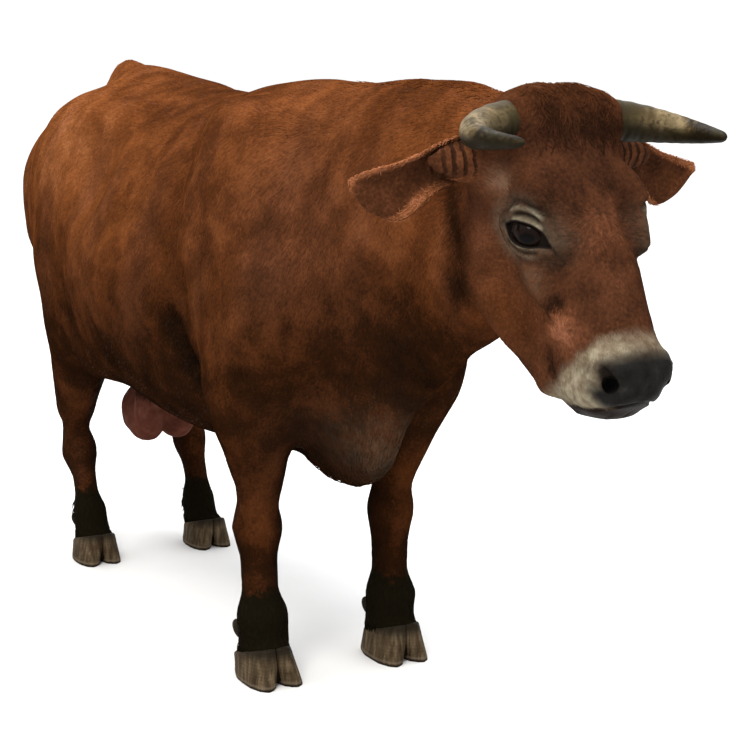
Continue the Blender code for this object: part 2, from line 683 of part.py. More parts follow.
TAIL_PATH = [(0, 0.760, 1.262), (0.0, 0.985, 1.225), (-0.012, 0.935, 0.900), (-0.052, 0.955, 0.680)]
SWITCH_PATH = [(-0.048, 0.954, 0.722), (-0.060, 0.958, 0.620), (-0.066, 0.950, 0.530), (-0.062, 0.940, 0.430)]


def tail_pieces():
    tail = swept("tail", TAIL_PATH, lambda t: 0.036 - 0.021 * t**0.6, 11, 7)
    switch = swept(
        "tail_switch", SWITCH_PATH,
        lambda t: 0.017 + 0.020 * math.sin(math.pi * min(t * 1.25, 1) ** 0.8) ** 1.2 if t < 0.96 else 0.007,
        9, 8,
    )  # fmt: skip
    return [tail, switch]


def clear_of(thing, *others):
    """Trims a thing to stay the gap's width clear of its neighbours."""
    for other in others:
        cutter = grown_copy(other, "cutter")
        boolean(thing, cutter, "DIFFERENCE")
        remove(cutter)
    return keep_largest(thing)


# ---------------------------------------------------------------- materials
# The first word found in a node's name gives its colour (linear) and roughness.
LOOKS = {
    "eye": ((0.010, 0.006, 0.004), 0.08),
    "horn": ((0.330, 0.290, 0.220), 0.45),
    "claw": ((0.260, 0.225, 0.175), 0.50),
    "teat": ((0.350, 0.180, 0.140), 0.55),
    "udder": ((0.330, 0.175, 0.135), 0.60),
    "pastern": ((0.030, 0.024, 0.018), 0.85),
    "cannon": ((0.036, 0.027, 0.018), 0.85),
    "switch": ((0.014, 0.011, 0.009), 0.80),
    "jaw": ((0.160, 0.105, 0.070), 0.80),
    "": ((0.300, 0.085, 0.022), 0.80),
}


def painted(thing):
    """Gives a thing its own material, after the first word of LOOKS in its name."""
    word = next(word for word in LOOKS if word in thing.name)
    colour, roughness = LOOKS[word]
    material = bpy.data.materials.new(f"{thing.name} surface")
    material.use_nodes = True
    shader = material.node_tree.nodes["Principled BSDF"]
    shader.inputs["Base Color"].default_value = (*colour, 1)
    shader.inputs["Roughness"].default_value = roughness
    shader.inputs["Metallic"].default_value = 0
    thing.data.materials.clear()
    thing.data.materials.append(material)
    return thing


def build():
    clear_scene()
    flesh = thinned(fused_flesh())
    extras = []
    for word, side in (("right", -1), ("left", 1)):
        x, y, z = on_head(EYE.x * side, EYE.y, EYE.z)
        eye = ellipsoid(f"{word}_eye", (x, y, z), (EYE_RADIUS,) * 3, None, 8, 10)
        boolean(flesh, grown_copy(eye, "cutter"), "DIFFERENCE")
        remove(bpy.data.objects["cutter"])
        extras.append(eye)
        extras.append(clear_of(horn(f"{word}_horn", side), flesh))
        extras.append(clear_of(ear(f"{word}_ear", side), flesh))
        for row, rear in (("fore", False), ("hind", True)):
            for made in foot(f"{word}_{row}", side, rear):
                extras.append(clear_of(made, flesh) if "dewclaw" in made.name else made)
        for row, spot in (("fore", (0.052, 0.428, 0.378)), ("hind", (0.052, 0.530, 0.358))):
            teat = ellipsoid(f"{word}_{row}_teat", (side * spot[0], *spot[1:]), (0.011, 0.011, 0.020), None, 5, 7)
            extras.append(clear_of(teat, flesh))
    tail, switch = tail_pieces()
    extras.append(clear_of(switch, flesh))
    extras.append(clear_of(tail, flesh, switch))
    return [painted(thing) for thing in parted(flesh) + extras]


if __name__ == "__main__":
    nodes = build()
    low = Vector((1e9,) * 3)
    high = -low
    for node in nodes:
        for vert in node.data.vertices:
            vert.co.x += STANCE * min(max((0.60 - vert.co.z) / 0.40, 0), 1)
            low = Vector(map(min, low, vert.co))
            high = Vector(map(max, high, vert.co))
    origin = Vector((0, (low.y + high.y) / 2, low.z))
    for node in nodes:
        node.data.transform(Matrix.Translation(-origin))
        print(node.name, len(node.data.polygons))
    print("origin", origin, "size", high - low, "faces", sum(len(node.data.polygons) for node in nodes))
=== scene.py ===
"""The looks of a standing horned cow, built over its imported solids.

One skin is fused from the solids of flesh, refined on the head, modelled with strokes for muscles, folds, lids
and lips, and drawn in by the depth of the coat. Ears, teats, nostrils and eye openings are joined to it or cut
from it. A coat of short tufts lies over it along the lie of the hair, with longer locks on the poll, brisket,
fetlocks and tail. Eyes, horns and claws are pieces of their own. Metres, +Z up; the cow faces -Y and its left
side is +X.
"""

import json
import math

import bmesh
import bpy
import numpy as np
from mathutils import Matrix, Vector
from mathutils.bvhtree import BVHTree

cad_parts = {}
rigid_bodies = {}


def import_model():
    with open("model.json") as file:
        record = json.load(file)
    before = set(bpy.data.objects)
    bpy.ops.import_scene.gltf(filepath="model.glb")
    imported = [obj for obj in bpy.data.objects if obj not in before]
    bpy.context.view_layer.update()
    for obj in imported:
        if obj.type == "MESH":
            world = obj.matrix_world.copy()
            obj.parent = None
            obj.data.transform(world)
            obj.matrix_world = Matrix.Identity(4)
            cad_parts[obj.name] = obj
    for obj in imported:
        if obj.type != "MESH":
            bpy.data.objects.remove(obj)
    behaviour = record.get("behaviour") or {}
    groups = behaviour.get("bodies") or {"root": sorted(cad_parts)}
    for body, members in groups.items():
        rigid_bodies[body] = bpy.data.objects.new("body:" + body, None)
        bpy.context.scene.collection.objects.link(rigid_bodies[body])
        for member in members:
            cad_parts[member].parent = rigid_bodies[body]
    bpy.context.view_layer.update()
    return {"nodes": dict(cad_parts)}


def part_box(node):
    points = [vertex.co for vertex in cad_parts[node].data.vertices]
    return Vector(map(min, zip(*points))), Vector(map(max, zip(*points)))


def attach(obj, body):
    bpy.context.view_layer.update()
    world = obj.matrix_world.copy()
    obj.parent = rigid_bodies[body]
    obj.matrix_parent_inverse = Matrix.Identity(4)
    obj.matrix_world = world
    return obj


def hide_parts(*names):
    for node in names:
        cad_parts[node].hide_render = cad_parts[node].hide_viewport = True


for thing in list(bpy.data.objects):
    bpy.data.objects.remove(thing, do_unlink=True)

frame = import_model()

# ---------------------------------------------------------------- the cow's own frame
# Places are given with y = 0 midway between the fore and hind feet, for the cow's left side.
HEEL_Y = -0.4312  # the fore hooves' heels
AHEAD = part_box("left_fore_outer_claw")[1].y - HEEL_Y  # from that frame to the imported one
POLL = np.array((0.0, -1.38, 1.335))
FACE_SLOPE = math.radians(28.6)
FACE_DOWN = np.array((0.0, -math.sin(FACE_SLOPE), -math.cos(FACE_SLOPE)))
FACE_OUT = np.array((0.0, -math.cos(FACE_SLOPE), math.sin(FACE_SLOPE)))
HEAD_FRAME = np.array(((1.0, 0.0, 0.0), FACE_DOWN, FACE_OUT))
WHORL = np.array((0.0, -1.521, 1.090))  # where the hair of the forehead parts
EYE_RADIUS = 0.039
SKIN_VOXEL = 0.0132
CAMERA_PLACE = (-1.74, -3.82, 1.37)
CAMERA_TURN, CAMERA_DROP = math.radians(29.4), math.radians(10.4)
LENS = 81.6  # millimetres
rng = np.random.default_rng(11)


def on_head(side, s, h):
    """A point of the head: to the side, down the face from the poll and out of the forehead."""
    return POLL + np.array((side, s, h)) @ HEAD_FRAME


def packed(points):
    """From the cow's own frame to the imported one."""
    return np.asarray(points, float) + (0, AHEAD, 0)


def own(points):
    return np.asarray(points, float) - (0, AHEAD, 0)


def step(low, high, value):
    """0 below low, 1 above high, smooth between. Low may be the greater."""
    t = np.clip((value - low) / (high - low), 0, 1)
    return t * t * (3 - 2 * t)


def ripple(points, scale, seed=0.0):
    """A smooth uneven field from about -1 to 1, with hills about scale across."""
    x, y, z = (points * (2 * math.pi / scale)).T
    return (
        np.sin(0.9 * x + 1.7 * np.sin(0.6 * y + seed) + seed)
        + np.sin(0.8 * y + 1.9 * np.sin(0.7 * z + 1.3 * seed) + 2.1)
        + np.sin(0.7 * z + 1.6 * np.sin(0.8 * x - seed) + 4.2)
    ) / 3


# ---------------------------------------------------------------- mesh helpers
def points_of(mesh):
    points = np.empty(len(mesh.vertices) * 3)
    mesh.vertices.foreach_get("co", points)
    return points.reshape(-1, 3)


def move_points(mesh, points):
    mesh.vertices.foreach_set("co", np.ascontiguousarray(points, np.float32).ravel())
    mesh.update()


def normals_of(mesh):
    normals = np.empty(len(mesh.vertices) * 3)
    mesh.vertex_normals.foreach_get("vector", normals)
    return normals.reshape(-1, 3)


def edges_of(mesh):
    edges = np.empty(len(mesh.edges) * 2, np.int32)
    mesh.edges.foreach_get("vertices", edges)
    return edges.reshape(-1, 2)


def new_piece(name, shape):
    """An object from a bmesh, which it uses up."""
    mesh = bpy.data.meshes.new(name)
    shape.to_mesh(mesh)
    shape.free()
    mesh.shade_smooth()
    made = bpy.data.objects.new(name, mesh)
    bpy.context.scene.collection.objects.link(made)
    return made


def settle(thing):
    """Applies a thing's modifiers."""
    graph = bpy.context.evaluated_depsgraph_get()
    mesh = bpy.data.meshes.new_from_object(thing.evaluated_get(graph))
    thing.modifiers.clear()
    thing.data = mesh
    return thing


def remeshed(thing, voxel):
    fuse = thing.modifiers.new("fuse", "REMESH")
    fuse.mode = "VOXEL"
    fuse.voxel_size = voxel
    return settle(thing)


def boolean(thing, other, operation):
    cut = thing.modifiers.new("cut", "BOOLEAN")
    cut.operation = operation
    cut.solver = "EXACT"
    cut.object = other
    settle(thing)
    bpy.data.objects.remove(other, do_unlink=True)
    return thing


def evened(mesh, rounds, strength=0.5, back=0.0):
    """Smooths a mesh. Strength may differ from point to point; back is how much of each round is undone."""
    points = points_of(mesh)
    a, b = edges_of(mesh).T
    count = np.bincount(a, minlength=len(points)) + np.bincount(b, minlength=len(points))
    strength = np.broadcast_to(strength, len(points))[:, None]
    for factor in [1.0, -back] * rounds if back else [1.0] * rounds:
        total = np.zeros_like(points)
        for axis in range(3):
            along = points[:, axis]
            total[:, axis] = np.bincount(a, along[b], len(points)) + np.bincount(b, along[a], len(points))
        points += factor * strength * (total / np.maximum(count, 1)[:, None] - points)
    move_points(mesh, points)


def flesh_copy(nodes, swell):
    """One object holding merged copies of CAD nodes, each grown so that neighbours overlap."""
    whole = bmesh.new()
    for node in nodes:
        one = bmesh.new()
        one.from_mesh(frame["nodes"][node].data)
        bmesh.ops.remove_doubles(one, verts=one.verts, dist=1e-5)
        one.normal_update()
        for vert in one.verts:
            vert.co += vert.normal * swell
        mesh = bpy.data.meshes.new(node)
        one.to_mesh(mesh)
        one.free()
        whole.from_mesh(mesh)
    return new_piece("flesh", whole)


def refined(thing, inside):
    """Splits the faces whose middle lies inside a region."""
    shape = bmesh.new()
    shape.from_mesh(thing.data)
    middles = own(np.array([face.calc_center_median() for face in shape.faces]))
    faces = [face for face, chosen in zip(shape.faces, inside(middles)) if chosen]
    edges = {edge for face in faces for edge in face.edges}
    bmesh.ops.subdivide_edges(shape, edges=list(edges), cuts=1, use_grid_fill=True)
    shape.to_mesh(thing.data)
    shape.free()


# ---------------------------------------------------------------- camera, floor and light
def look_at(thing, place, target):
    thing.location = place
    thing.rotation_euler = (Vector(target) - Vector(place)).to_track_quat("-Z", "Y").to_euler()


def camera_view():
    lens = bpy.data.cameras.new("view")
    lens.sensor_width = 36
    lens.lens = LENS
    camera = bpy.data.objects.new("view", lens)
    bpy.context.scene.collection.objects.link(camera)
    place = Vector(packed(CAMERA_PLACE))
    level = math.cos(CAMERA_DROP)
    ahead = Vector((math.sin(CAMERA_TURN) * level, math.cos(CAMERA_TURN) * level, -math.sin(CAMERA_DROP)))
    look_at(camera, place, place + ahead)
    bpy.context.scene.camera = camera


def light(name, place, target, size, power, colour=(1, 1, 1)):
    lamp = bpy.data.lights.new(name, "AREA")
    lamp.shape = "DISK"
    lamp.size = size
    lamp.energy = power
    lamp.color = colour
    made = bpy.data.objects.new(name, lamp)
    bpy.context.scene.collection.objects.link(made)
    look_at(made, packed(place), packed(target))


def studio():
    shape = bmesh.new()
    bmesh.ops.create_grid(shape, x_segments=1, y_segments=1, size=40)
    floor = new_piece("floor", shape)
    floor.data.materials.append(material("pale floor", floor_finish))
    world = bpy.data.worlds.new("sky")
    bpy.context.scene.world = world
    world.use_nodes = True
    tree = world.node_tree
    sky = tree.nodes["Background"]
    sky.inputs["Color"].default_value = (1.0, 1.0, 1.0, 1)
    towards = tree.nodes.new("ShaderNodeSeparateXYZ")
    tree.links.new(tree.nodes.new("ShaderNodeTexCoord").outputs["Generated"], towards.inputs[0])
    rising = tree.nodes.new("ShaderNodeMapRange")  # a soft box overhead: brighter at the zenith than at the horizon
    for socket, value in (("From Min", 0.0), ("From Max", 1.0), ("To Min", 1.02), ("To Max", 2.4)):
        rising.inputs[socket].default_value = value
    tree.links.new(towards.outputs[2], rising.inputs["Value"])
    tree.links.new(rising.outputs[0], sky.inputs["Strength"])
    bpy.context.scene.view_settings.view_transform = "Standard"
    light("key", (-2.4, -2.6, 4.6), (0, -0.5, 0.9), 2.2, 260, (1.0, 0.96, 0.90))
    light("top", (0.2, 0.6, 5.0), (0, 0.2, 1.0), 2.6, 190)


# ---------------------------------------------------------------- materials
class Finish:
    """Builds one material's nodes, and keeps its shader at hand."""

    def __init__(self, name):
        self.material = bpy.data.materials.new(name)
        self.material.use_nodes = True
        self.tree = self.material.node_tree
        self.shader = self.tree.nodes["Principled BSDF"]
        self.where = self.tree.nodes.new("ShaderNodeTexCoord").outputs["Object"]

    def node(self, kind, inputs=(), **settings):
        made = self.tree.nodes.new(kind)
        for key, value in settings.items():
            setattr(made, key, value)
        for key, value in dict(inputs).items():
            self.feed(made.inputs[key], value)
        return made

    def feed(self, socket, value):
        if isinstance(value, bpy.types.NodeSocket):
            self.tree.links.new(value, socket)
        else:
            socket.default_value = value

    def attribute(self, name, output="Fac"):
        return self.node("ShaderNodeAttribute", attribute_name=name).outputs[output]

    def stretched(self, scale, coordinates=None):
        return self.node(
            "ShaderNodeMapping", {"Vector": coordinates or self.where, "Scale": scale}
        ).outputs["Vector"]

    def noise(self, scale, detail=4.0, coordinates=None, roughness=0.55, distortion=0.0):
        return self.node(
            "ShaderNodeTexNoise",
            {"Vector": coordinates or self.where, "Scale": scale, "Detail": detail, "Roughness": roughness,
             "Distortion": distortion},
        ).outputs["Fac"]  # fmt: skip

    def math(self, operation, a, b=0.0, clamp=False):
        made = self.node("ShaderNodeMath", operation=operation, use_clamp=clamp)
        self.feed(made.inputs[0], a)
        self.feed(made.inputs[1], b)
        return made.outputs[0]

    def span(self, value, low, high, to_low=0.0, to_high=1.0):
        return self.node(
            "ShaderNodeMapRange",
            {"Value": value, "From Min": low, "From Max": high, "To Min": to_low, "To Max": to_high},
            interpolation_type="SMOOTHSTEP",
        ).outputs["Result"]

    def mix(self, share, a, b):
        made = self.node("ShaderNodeMix", data_type="RGBA")
        self.feed(made.inputs["Factor"], share)
        for socket, value in ((made.inputs[6], a), (made.inputs[7], b)):
            self.feed(socket, (*value, 1) if isinstance(value, tuple) and len(value) == 3 else value)
        return made.outputs[2]

    def ramp(self, value, *stops):
        made = self.node("ShaderNodeValToRGB", {"Fac": value})
        band = made.color_ramp
        while len(band.elements) < len(stops):
            band.elements.new(0.5)
        for element, (place, colour) in zip(band.elements, stops):
            element.position = place
            element.color = (*colour, 1)
        return made.outputs["Color"]

    def bump(self, height, distance, strength=1.0, under=None):
        inputs = {"Height": height, "Distance": distance, "Strength": strength}
        if under is not None:
            inputs["Normal"] = under
        return self.node("ShaderNodeBump", inputs).outputs["Normal"]

    def surface(self, **values):
        for key, value in values.items():
            self.feed(self.shader.inputs[key.replace("_", " ")], value)


def material(name, finish):
    made = Finish(name)
    finish(made)
    return made.material


CHESTNUT = (
    (0.00, (0.0045, 0.0024, 0.0012)),
    (0.25, (0.0165, 0.0054, 0.0017)),
    (0.50, (0.0540, 0.0158, 0.0042)),
    (0.70, (0.1050, 0.0320, 0.0080)),
    (0.85, (0.1600, 0.0530, 0.0140)),
    (1.00, (0.2300, 0.0860, 0.0330)),
)
ROSY = (
    (0.00, (0.0062, 0.0032, 0.0022)),
    (0.25, (0.0165, 0.0066, 0.0036)),
    (0.50, (0.0520, 0.0190, 0.0090)),
    (0.70, (0.1000, 0.0370, 0.0180)),
    (1.00, (0.2500, 0.0980, 0.0560)),
)
STOCKING = (0.0046, 0.0037, 0.0019)
CREAM = (0.230, 0.200, 0.140)
SLATE = (0.0096, 0.0094, 0.0090)
DUSKY_PINK = (0.067, 0.0215, 0.0135)
HAIR_GLINT = (1.0, 0.60, 0.34, 1)  # what little light glances off the hide takes the hair's colour


def coat_colour(f, mottle):
    """The markings, which skin and tufts share: chestnut by tone, then stockings and pale hair over it."""
    patchy = f.span(f.noise(14, 5), 0.30, 0.72, -0.09, 0.09)
    fine = f.span(f.noise(160, 3), 0.25, 0.75, -mottle, mottle)
    tone = f.math("ADD", f.attribute("tone"), f.math("ADD", patchy, fine))
    colour = f.mix(f.attribute("rose"), f.ramp(tone, *CHESTNUT), f.ramp(tone, *ROSY))
    edge = f.span(f.noise(70, 4), 0.3, 0.7, -0.22, 0.22)
    dusk = f.span(f.math("ADD", f.attribute("dusk"), edge), 0.30, 0.70)
    colour = f.mix(dusk, colour, STOCKING)
    pale = f.math("MULTIPLY", f.attribute("pale"), f.math("ADD", edge, 1.0), clamp=True)
    cream = f.mix(f.span(f.noise(45, 4), 0.35, 0.70), CREAM, (0.125, 0.100, 0.066))
    return f.mix(pale, colour, cream)


# Painted shade: darkens the colour by the shade attribute, which marks the creases, hollows and holes where shade
# falls.
def shaded(f, colour):
    return f.mix(f.math("MULTIPLY", f.attribute("shade"), 0.88), colour, (0.0060, 0.0042, 0.0034))


def hide_finish(f):
    """Skin under the coat, and bare on nose, lips, lids, udder and teats."""
    colour = coat_colour(f, 0.10)
    slate = f.ramp(f.noise(38, 5), (0.30, (0.0042, 0.0042, 0.0042)), (0.62, SLATE), (0.85, (0.026, 0.0245, 0.0215)))
    slick = f.attribute("slick")
    colour = f.mix(slick, colour, slate)
    pink = f.ramp(f.noise(30, 5), (0.25, (0.034, 0.0105, 0.0068)), (0.55, DUSKY_PINK), (0.85, (0.105, 0.042, 0.030)))
    colour = shaded(f, f.mix(f.attribute("pink"), colour, pink))
    uneven = f.math("ADD", f.attribute("fold"), f.span(f.noise(55, 3), 0.25, 0.75, -0.14, 0.14))
    turns = f.math("COSINE", f.math("MULTIPLY", uneven, 2 * math.pi))
    groove = f.math("MULTIPLY", f.span(turns, -0.10, 0.98), f.attribute("folded"))
    # Painted shade in the grooves of the folds at the ear's root and on the neck.
    colour = f.mix(f.math("MULTIPLY", groove, 0.86), colour, (0.0080, 0.0046, 0.0032))
    pebbles = f.node("ShaderNodeTexVoronoi", {"Vector": f.where, "Scale": 260.0}, feature="F1").outputs["Distance"]
    hair = f.noise(900, 2, f.stretched((1, 0.35, 0.35)))
    pores = f.bump(f.math("MULTIPLY", pebbles, slick), 0.0012, 0.5)
    wrinkled = f.bump(f.math("SUBTRACT", 1.0, groove), 0.0045, 0.8, pores)
    grain = f.bump(hair, 0.0008, 0.35, wrinkled)
    gloss = f.span(slick, 0.0, 1.0, 0.80, 0.48)
    f.surface(Base_Color=colour, Roughness=gloss, Normal=grain, Specular_IOR_Level=0.02)
    f.surface(Specular_Tint=HAIR_GLINT)


def coat_finish(f):
    """Tufts of short hair, each a little lighter or darker than the next."""
    colour = shaded(f, coat_colour(f, 0.05))
    f.surface(Base_Color=colour, Roughness=f.span(f.noise(240, 2), 0.3, 0.7, 0.56, 0.74))
    f.surface(Specular_IOR_Level=0.0)


def eye_finish(f):
    """Dark wet eyeball: a sideways pupil in a brown iris, with a brown-black white of the eye."""
    seen = f.attribute("iris", "Vector")
    parts = f.node("ShaderNodeSeparateXYZ", {"Vector": seen})
    across, up = parts.outputs[0], parts.outputs[1]
    away = f.math("SQRT", f.math("ADD", f.math("POWER", across, 2.0), f.math("POWER", up, 2.0)))
    rays = f.noise(9, 4, f.stretched((3.0, 3.0, 3.0), seen))
    iris = f.ramp(
        f.math("ADD", away, f.span(rays, 0.3, 0.7, -0.05, 0.05)),
        (0.10, (0.0016, 0.0012, 0.0011)), (0.34, (0.0052, 0.0026, 0.0020)), (0.52, (0.0080, 0.0038, 0.0027)),
        (0.60, (0.0030, 0.0020, 0.0017)), (0.78, (0.0070, 0.0040, 0.0030)), (1.0, (0.040, 0.022, 0.018)),
    )  # fmt: skip
    slot = f.math("SQRT", f.math("ADD", f.math("POWER", f.math("DIVIDE", across, 0.36), 2.0),
                                 f.math("POWER", f.math("DIVIDE", up, 0.17), 2.0)))  # fmt: skip
    colour = f.mix(f.span(slot, 0.85, 1.15), (0.0015, 0.0012, 0.0012), iris)
    veins = f.bump(f.noise(600, 2), 0.0002, 0.10)
    f.surface(Base_Color=colour, Roughness=f.span(away, 0.2, 1.0, 0.05, 0.12), Normal=veins)
    f.surface(Specular_IOR_Level=0.02, Coat_Weight=0.07, Coat_Roughness=0.03, Coat_IOR=1.33)


def horn_finish(f):
    """Olive-grey horn: dark where it leaves the hair, cream in the middle, dark at the tip, ringed and streaked, with
    painted shade on its underside.
    """
    along = f.attribute("along")
    streaks = f.noise(26, 5, roughness=0.6, distortion=0.6)
    body = f.ramp(
        f.math("ADD", along, f.span(streaks, 0.3, 0.7, -0.14, 0.14)),
        (0.05, (0.016, 0.0105, 0.0045)), (0.26, (0.032, 0.022, 0.0095)), (0.42, (0.072, 0.052, 0.026)),
        (0.56, (0.138, 0.102, 0.055)), (0.70, (0.050, 0.034, 0.0150)), (0.82, (0.0050, 0.0034, 0.0015)),
    )  # fmt: skip
    flecks = f.span(f.noise(120, 5), 0.50, 0.66)
    body = f.mix(f.math("MULTIPLY", flecks, 0.75), body, (0.022, 0.014, 0.007))
    greenish = f.span(f.noise(20, 4), 0.45, 0.65, 0.0, 0.35)
    body = f.mix(greenish, body, (0.026, 0.023, 0.0095))
    # Painted shade: the horn darkens where it faces down.
    body = f.mix(f.math("MULTIPLY", f.attribute("under"), 0.92), body, (0.0070, 0.0052, 0.0024))
    ringward = f.node("ShaderNodeCombineXYZ", {"X": along}).outputs[0]
    rings = f.node(
        "ShaderNodeTexWave", {"Vector": ringward, "Scale": 5.5, "Distortion": 1.2, "Detail": 2.0}, bands_direction="X"
    ).outputs["Fac"]
    fade = f.span(along, 0.15, 0.75, 1.0, 0.15)
    ringed = f.bump(f.math("MULTIPLY", rings, fade), 0.0012, 0.6)
    scuffed = f.bump(f.noise(420, 4), 0.0005, 0.4, ringed)
    f.surface(Base_Color=body, Roughness=f.span(streaks, 0.3, 0.7, 0.40, 0.60), Normal=scuffed)
    f.surface(Specular_IOR_Level=0.05, Specular_Tint=(1.0, 0.86, 0.62, 1))


def claw_finish(f):
    """Grey-beige hoof horn: rings that follow the coronet, streaks down the wall, stains and a dark worn rim."""
    parts = f.node("ShaderNodeSeparateXYZ", {"Vector": f.where})
    height = parts.outputs[2]
    rings = f.node(
        "ShaderNodeTexWave",
        {"Vector": f.stretched((1, 0.28, 1)), "Scale": 42.0, "Distortion": 2.6, "Detail": 3.0, "Detail Scale": 1.4},
        bands_direction="Z",
    ).outputs["Fac"]
    streaks = f.noise(60, 5, f.stretched((1.6, 1.6, 0.18)))
    base = f.ramp(
        streaks, (0.26, (0.015, 0.0085, 0.0045)), (0.48, (0.046, 0.031, 0.0165)), (0.74, (0.115, 0.084, 0.050))
    )
    stains = f.span(f.noise(22, 5), 0.50, 0.68)
    base = f.mix(f.math("MULTIPLY", stains, 0.75), base, (0.026, 0.014, 0.007))
    base = f.mix(f.math("MULTIPLY", f.span(rings, 0.55, 0.95), 0.16), base, (0.022, 0.016, 0.010))
    edge = f.math("MULTIPLY", f.span(height, 0.006, 0.009), f.span(height, 0.010, 0.014, 1.0, 0.0))
    base = f.mix(f.math("MULTIPLY", edge, 0.30), base, (0.160, 0.130, 0.095))
    worn = f.span(height, 0.003, 0.008, 1.0, 0.0)
    base = f.mix(f.math("MULTIPLY", worn, 0.92), base, (0.0060, 0.0042, 0.0026))
    under_hair = f.span(height, 0.052, 0.085, 0.0, 0.92)
    base = f.mix(under_hair, base, (0.0090, 0.0070, 0.0045))
    ringed = f.bump(rings, 0.0010, 0.35)
    cracked = f.bump(f.span(streaks, 0.3, 0.7), 0.0022, 0.6, ringed)
    rough = f.bump(f.noise(300, 4), 0.0006, 0.5, cracked)
    f.surface(Base_Color=base, Roughness=f.span(streaks, 0.3, 0.7, 0.54, 0.74), Normal=rough)
    f.surface(Specular_IOR_Level=0.03)


def floor_finish(f):
    speckle = f.ramp(f.noise(3, 4), (0.3, (0.60, 0.60, 0.60)), (0.7, (0.63, 0.63, 0.63)))
    f.surface(Base_Color=speckle, Roughness=0.9, Normal=f.bump(f.noise(60, 3), 0.0005, 0.2))


# ---------------------------------------------------------------- modelling the skin
def curve_through(points, count=40):
    """Points evenly along a smooth curve through the given ones."""
    points = np.array(points, float)
    if len(points) == 2:
        return np.linspace(points[0], points[1], count)
    reach = np.concatenate([[0], np.cumsum(np.linalg.norm(np.diff(points, axis=0), axis=1))])
    slopes = np.gradient(points, reach, axis=0)
    at = np.linspace(0, reach[-1], count)
    left = np.clip(np.searchsorted(reach, at) - 1, 0, len(points) - 2)
    span = (reach[left + 1] - reach[left])[:, None]
    t = (at - reach[left])[:, None] / span
    return (
        (2 * t**3 - 3 * t**2 + 1) * points[left]
        + (t**3 - 2 * t**2 + t) * span * slopes[left]
        + (3 * t**2 - 2 * t**3) * points[left + 1]
        + (t**3 - t**2) * span * slopes[left + 1]
    )


def distance_to(path, points):
    """Distance from points to a path, and the share of the way along it of the nearest place."""
    best = np.full(len(points), 1e9)
    where = np.zeros(len(points))
    for i in range(len(path) - 1):
        run = path[i + 1] - path[i]
        share = np.clip((points - path[i]) @ run / max(run @ run, 1e-12), 0, 1)
        gap = np.linalg.norm(points - path[i] - share[:, None] * run, axis=1)
        nearer = gap < best
        best[nearer] = gap[nearer]
        where[nearer] = (i + share[nearer]) / (len(path) - 1)
    return best, where


def near(points, path, width):
    """How strongly a stroke of this width along a path touches each point, 0 to 1, fading at its ends."""
    path = curve_through(path)
    low, high = path.min(0) - 2.6 * width, path.max(0) + 2.6 * width
    touched = np.flatnonzero(((points > low) & (points < high)).all(1))
    strength = np.zeros(len(points))
    gap, where = distance_to(path, points[touched])
    strength[touched] = np.exp(-((gap / width) ** 2)) * step(0, 0.18, where) * step(1, 0.82, where)
    return strength


def blob(points, centre, radius):
    """1 at the centre of a soft round patch, fading to 0 at about twice its radius."""
    away = np.linalg.norm((points - centre) / radius, axis=1)
    return np.exp(-(away**2))


def paired(path):
    """A path and its mirror image."""
    path = np.array(path, float)
    return (path, path * (-1, 1, 1))


def head_path(*points):
    return [on_head(*point) for point in points]


# Each stroke: path on the left side, width, height (negative sinks).
BODY_STROKES = {
    "shoulder blade": ([(0.13, -0.46, 1.29), (0.24, -0.55, 1.08), (0.27, -0.63, 0.88)], 0.040, 0.007),
    "behind the shoulder": ([(0.17, -0.33, 1.27), (0.30, -0.34, 1.02), (0.31, -0.38, 0.76)], 0.045, -0.010),
    "before the shoulder": ([(0.13, -0.80, 1.26), (0.21, -0.80, 1.05), (0.21, -0.80, 0.84)], 0.040, -0.008),
    "upper arm": ([(0.27, -0.66, 0.84), (0.28, -0.56, 0.72), (0.27, -0.47, 0.68)], 0.040, 0.008),
    "armpit fold": ([(0.24, -0.42, 0.62), (0.28, -0.38, 0.70), (0.31, -0.33, 0.80)], 0.020, -0.009),
    "last rib": ([(0.26, 0.13, 1.20), (0.34, 0.10, 0.98), (0.33, 0.02, 0.76), (0.24, -0.05, 0.60)], 0.030, 0.004),
    "flank fold": ([(0.31, 0.27, 0.98), (0.28, 0.30, 0.80), (0.25, 0.26, 0.68)], 0.035, -0.008),
    "stifle fold": ([(0.20, 0.24, 0.60), (0.27, 0.33, 0.72), (0.29, 0.40, 0.84)], 0.022, -0.007),
    "girth crease": (
        [(0.295, -0.300, 0.86), (0.270, -0.320, 0.768), (0.240, -0.345, 0.684), (0.205, -0.350, 0.60)], 0.018, -0.012
    ),
    "edge of the arm": ([(0.300, -0.400, 0.88), (0.290, -0.410, 0.78), (0.270, -0.425, 0.68)], 0.026, 0.008),
    "arm to chest": (
        [(0.300, -0.600, 0.80), (0.262, -0.668, 0.715), (0.200, -0.680, 0.630), (0.12, -0.62, 0.56)], 0.022, -0.009
    ),
    "thigh groove": ([(0.24, 0.70, 1.08), (0.26, 0.72, 0.88), (0.21, 0.73, 0.68)], 0.035, -0.007),
    "hamstring": ([(0.19, 0.74, 0.70), (0.18, 0.755, 0.55), (0.175, 0.748, 0.44)], 0.018, 0.004),
    "gaskin groove": ([(0.23, 0.62, 0.62), (0.205, 0.70, 0.52), (0.19, 0.725, 0.44)], 0.014, -0.006),
    "fore cannon groove": ([(0.212, -0.490, 0.30), (0.210, -0.488, 0.25), (0.208, -0.488, 0.20)], 0.010, -0.004),
    "hind cannon groove": ([(0.205, 0.690, 0.27), (0.203, 0.665, 0.23), (0.202, 0.655, 0.18)], 0.009, -0.004),
    "forearm groove": ([(0.27, -0.49, 0.58), (0.24, -0.485, 0.50), (0.225, -0.485, 0.43)], 0.016, -0.006),
    "knee": ([(0.19, -0.556, 0.38), (0.19, -0.556, 0.34)], 0.022, 0.003),
    "brisket fold": ([(0.05, -0.82, 0.60), (0.10, -0.74, 0.56), (0.13, -0.66, 0.56)], 0.016, -0.005),
}


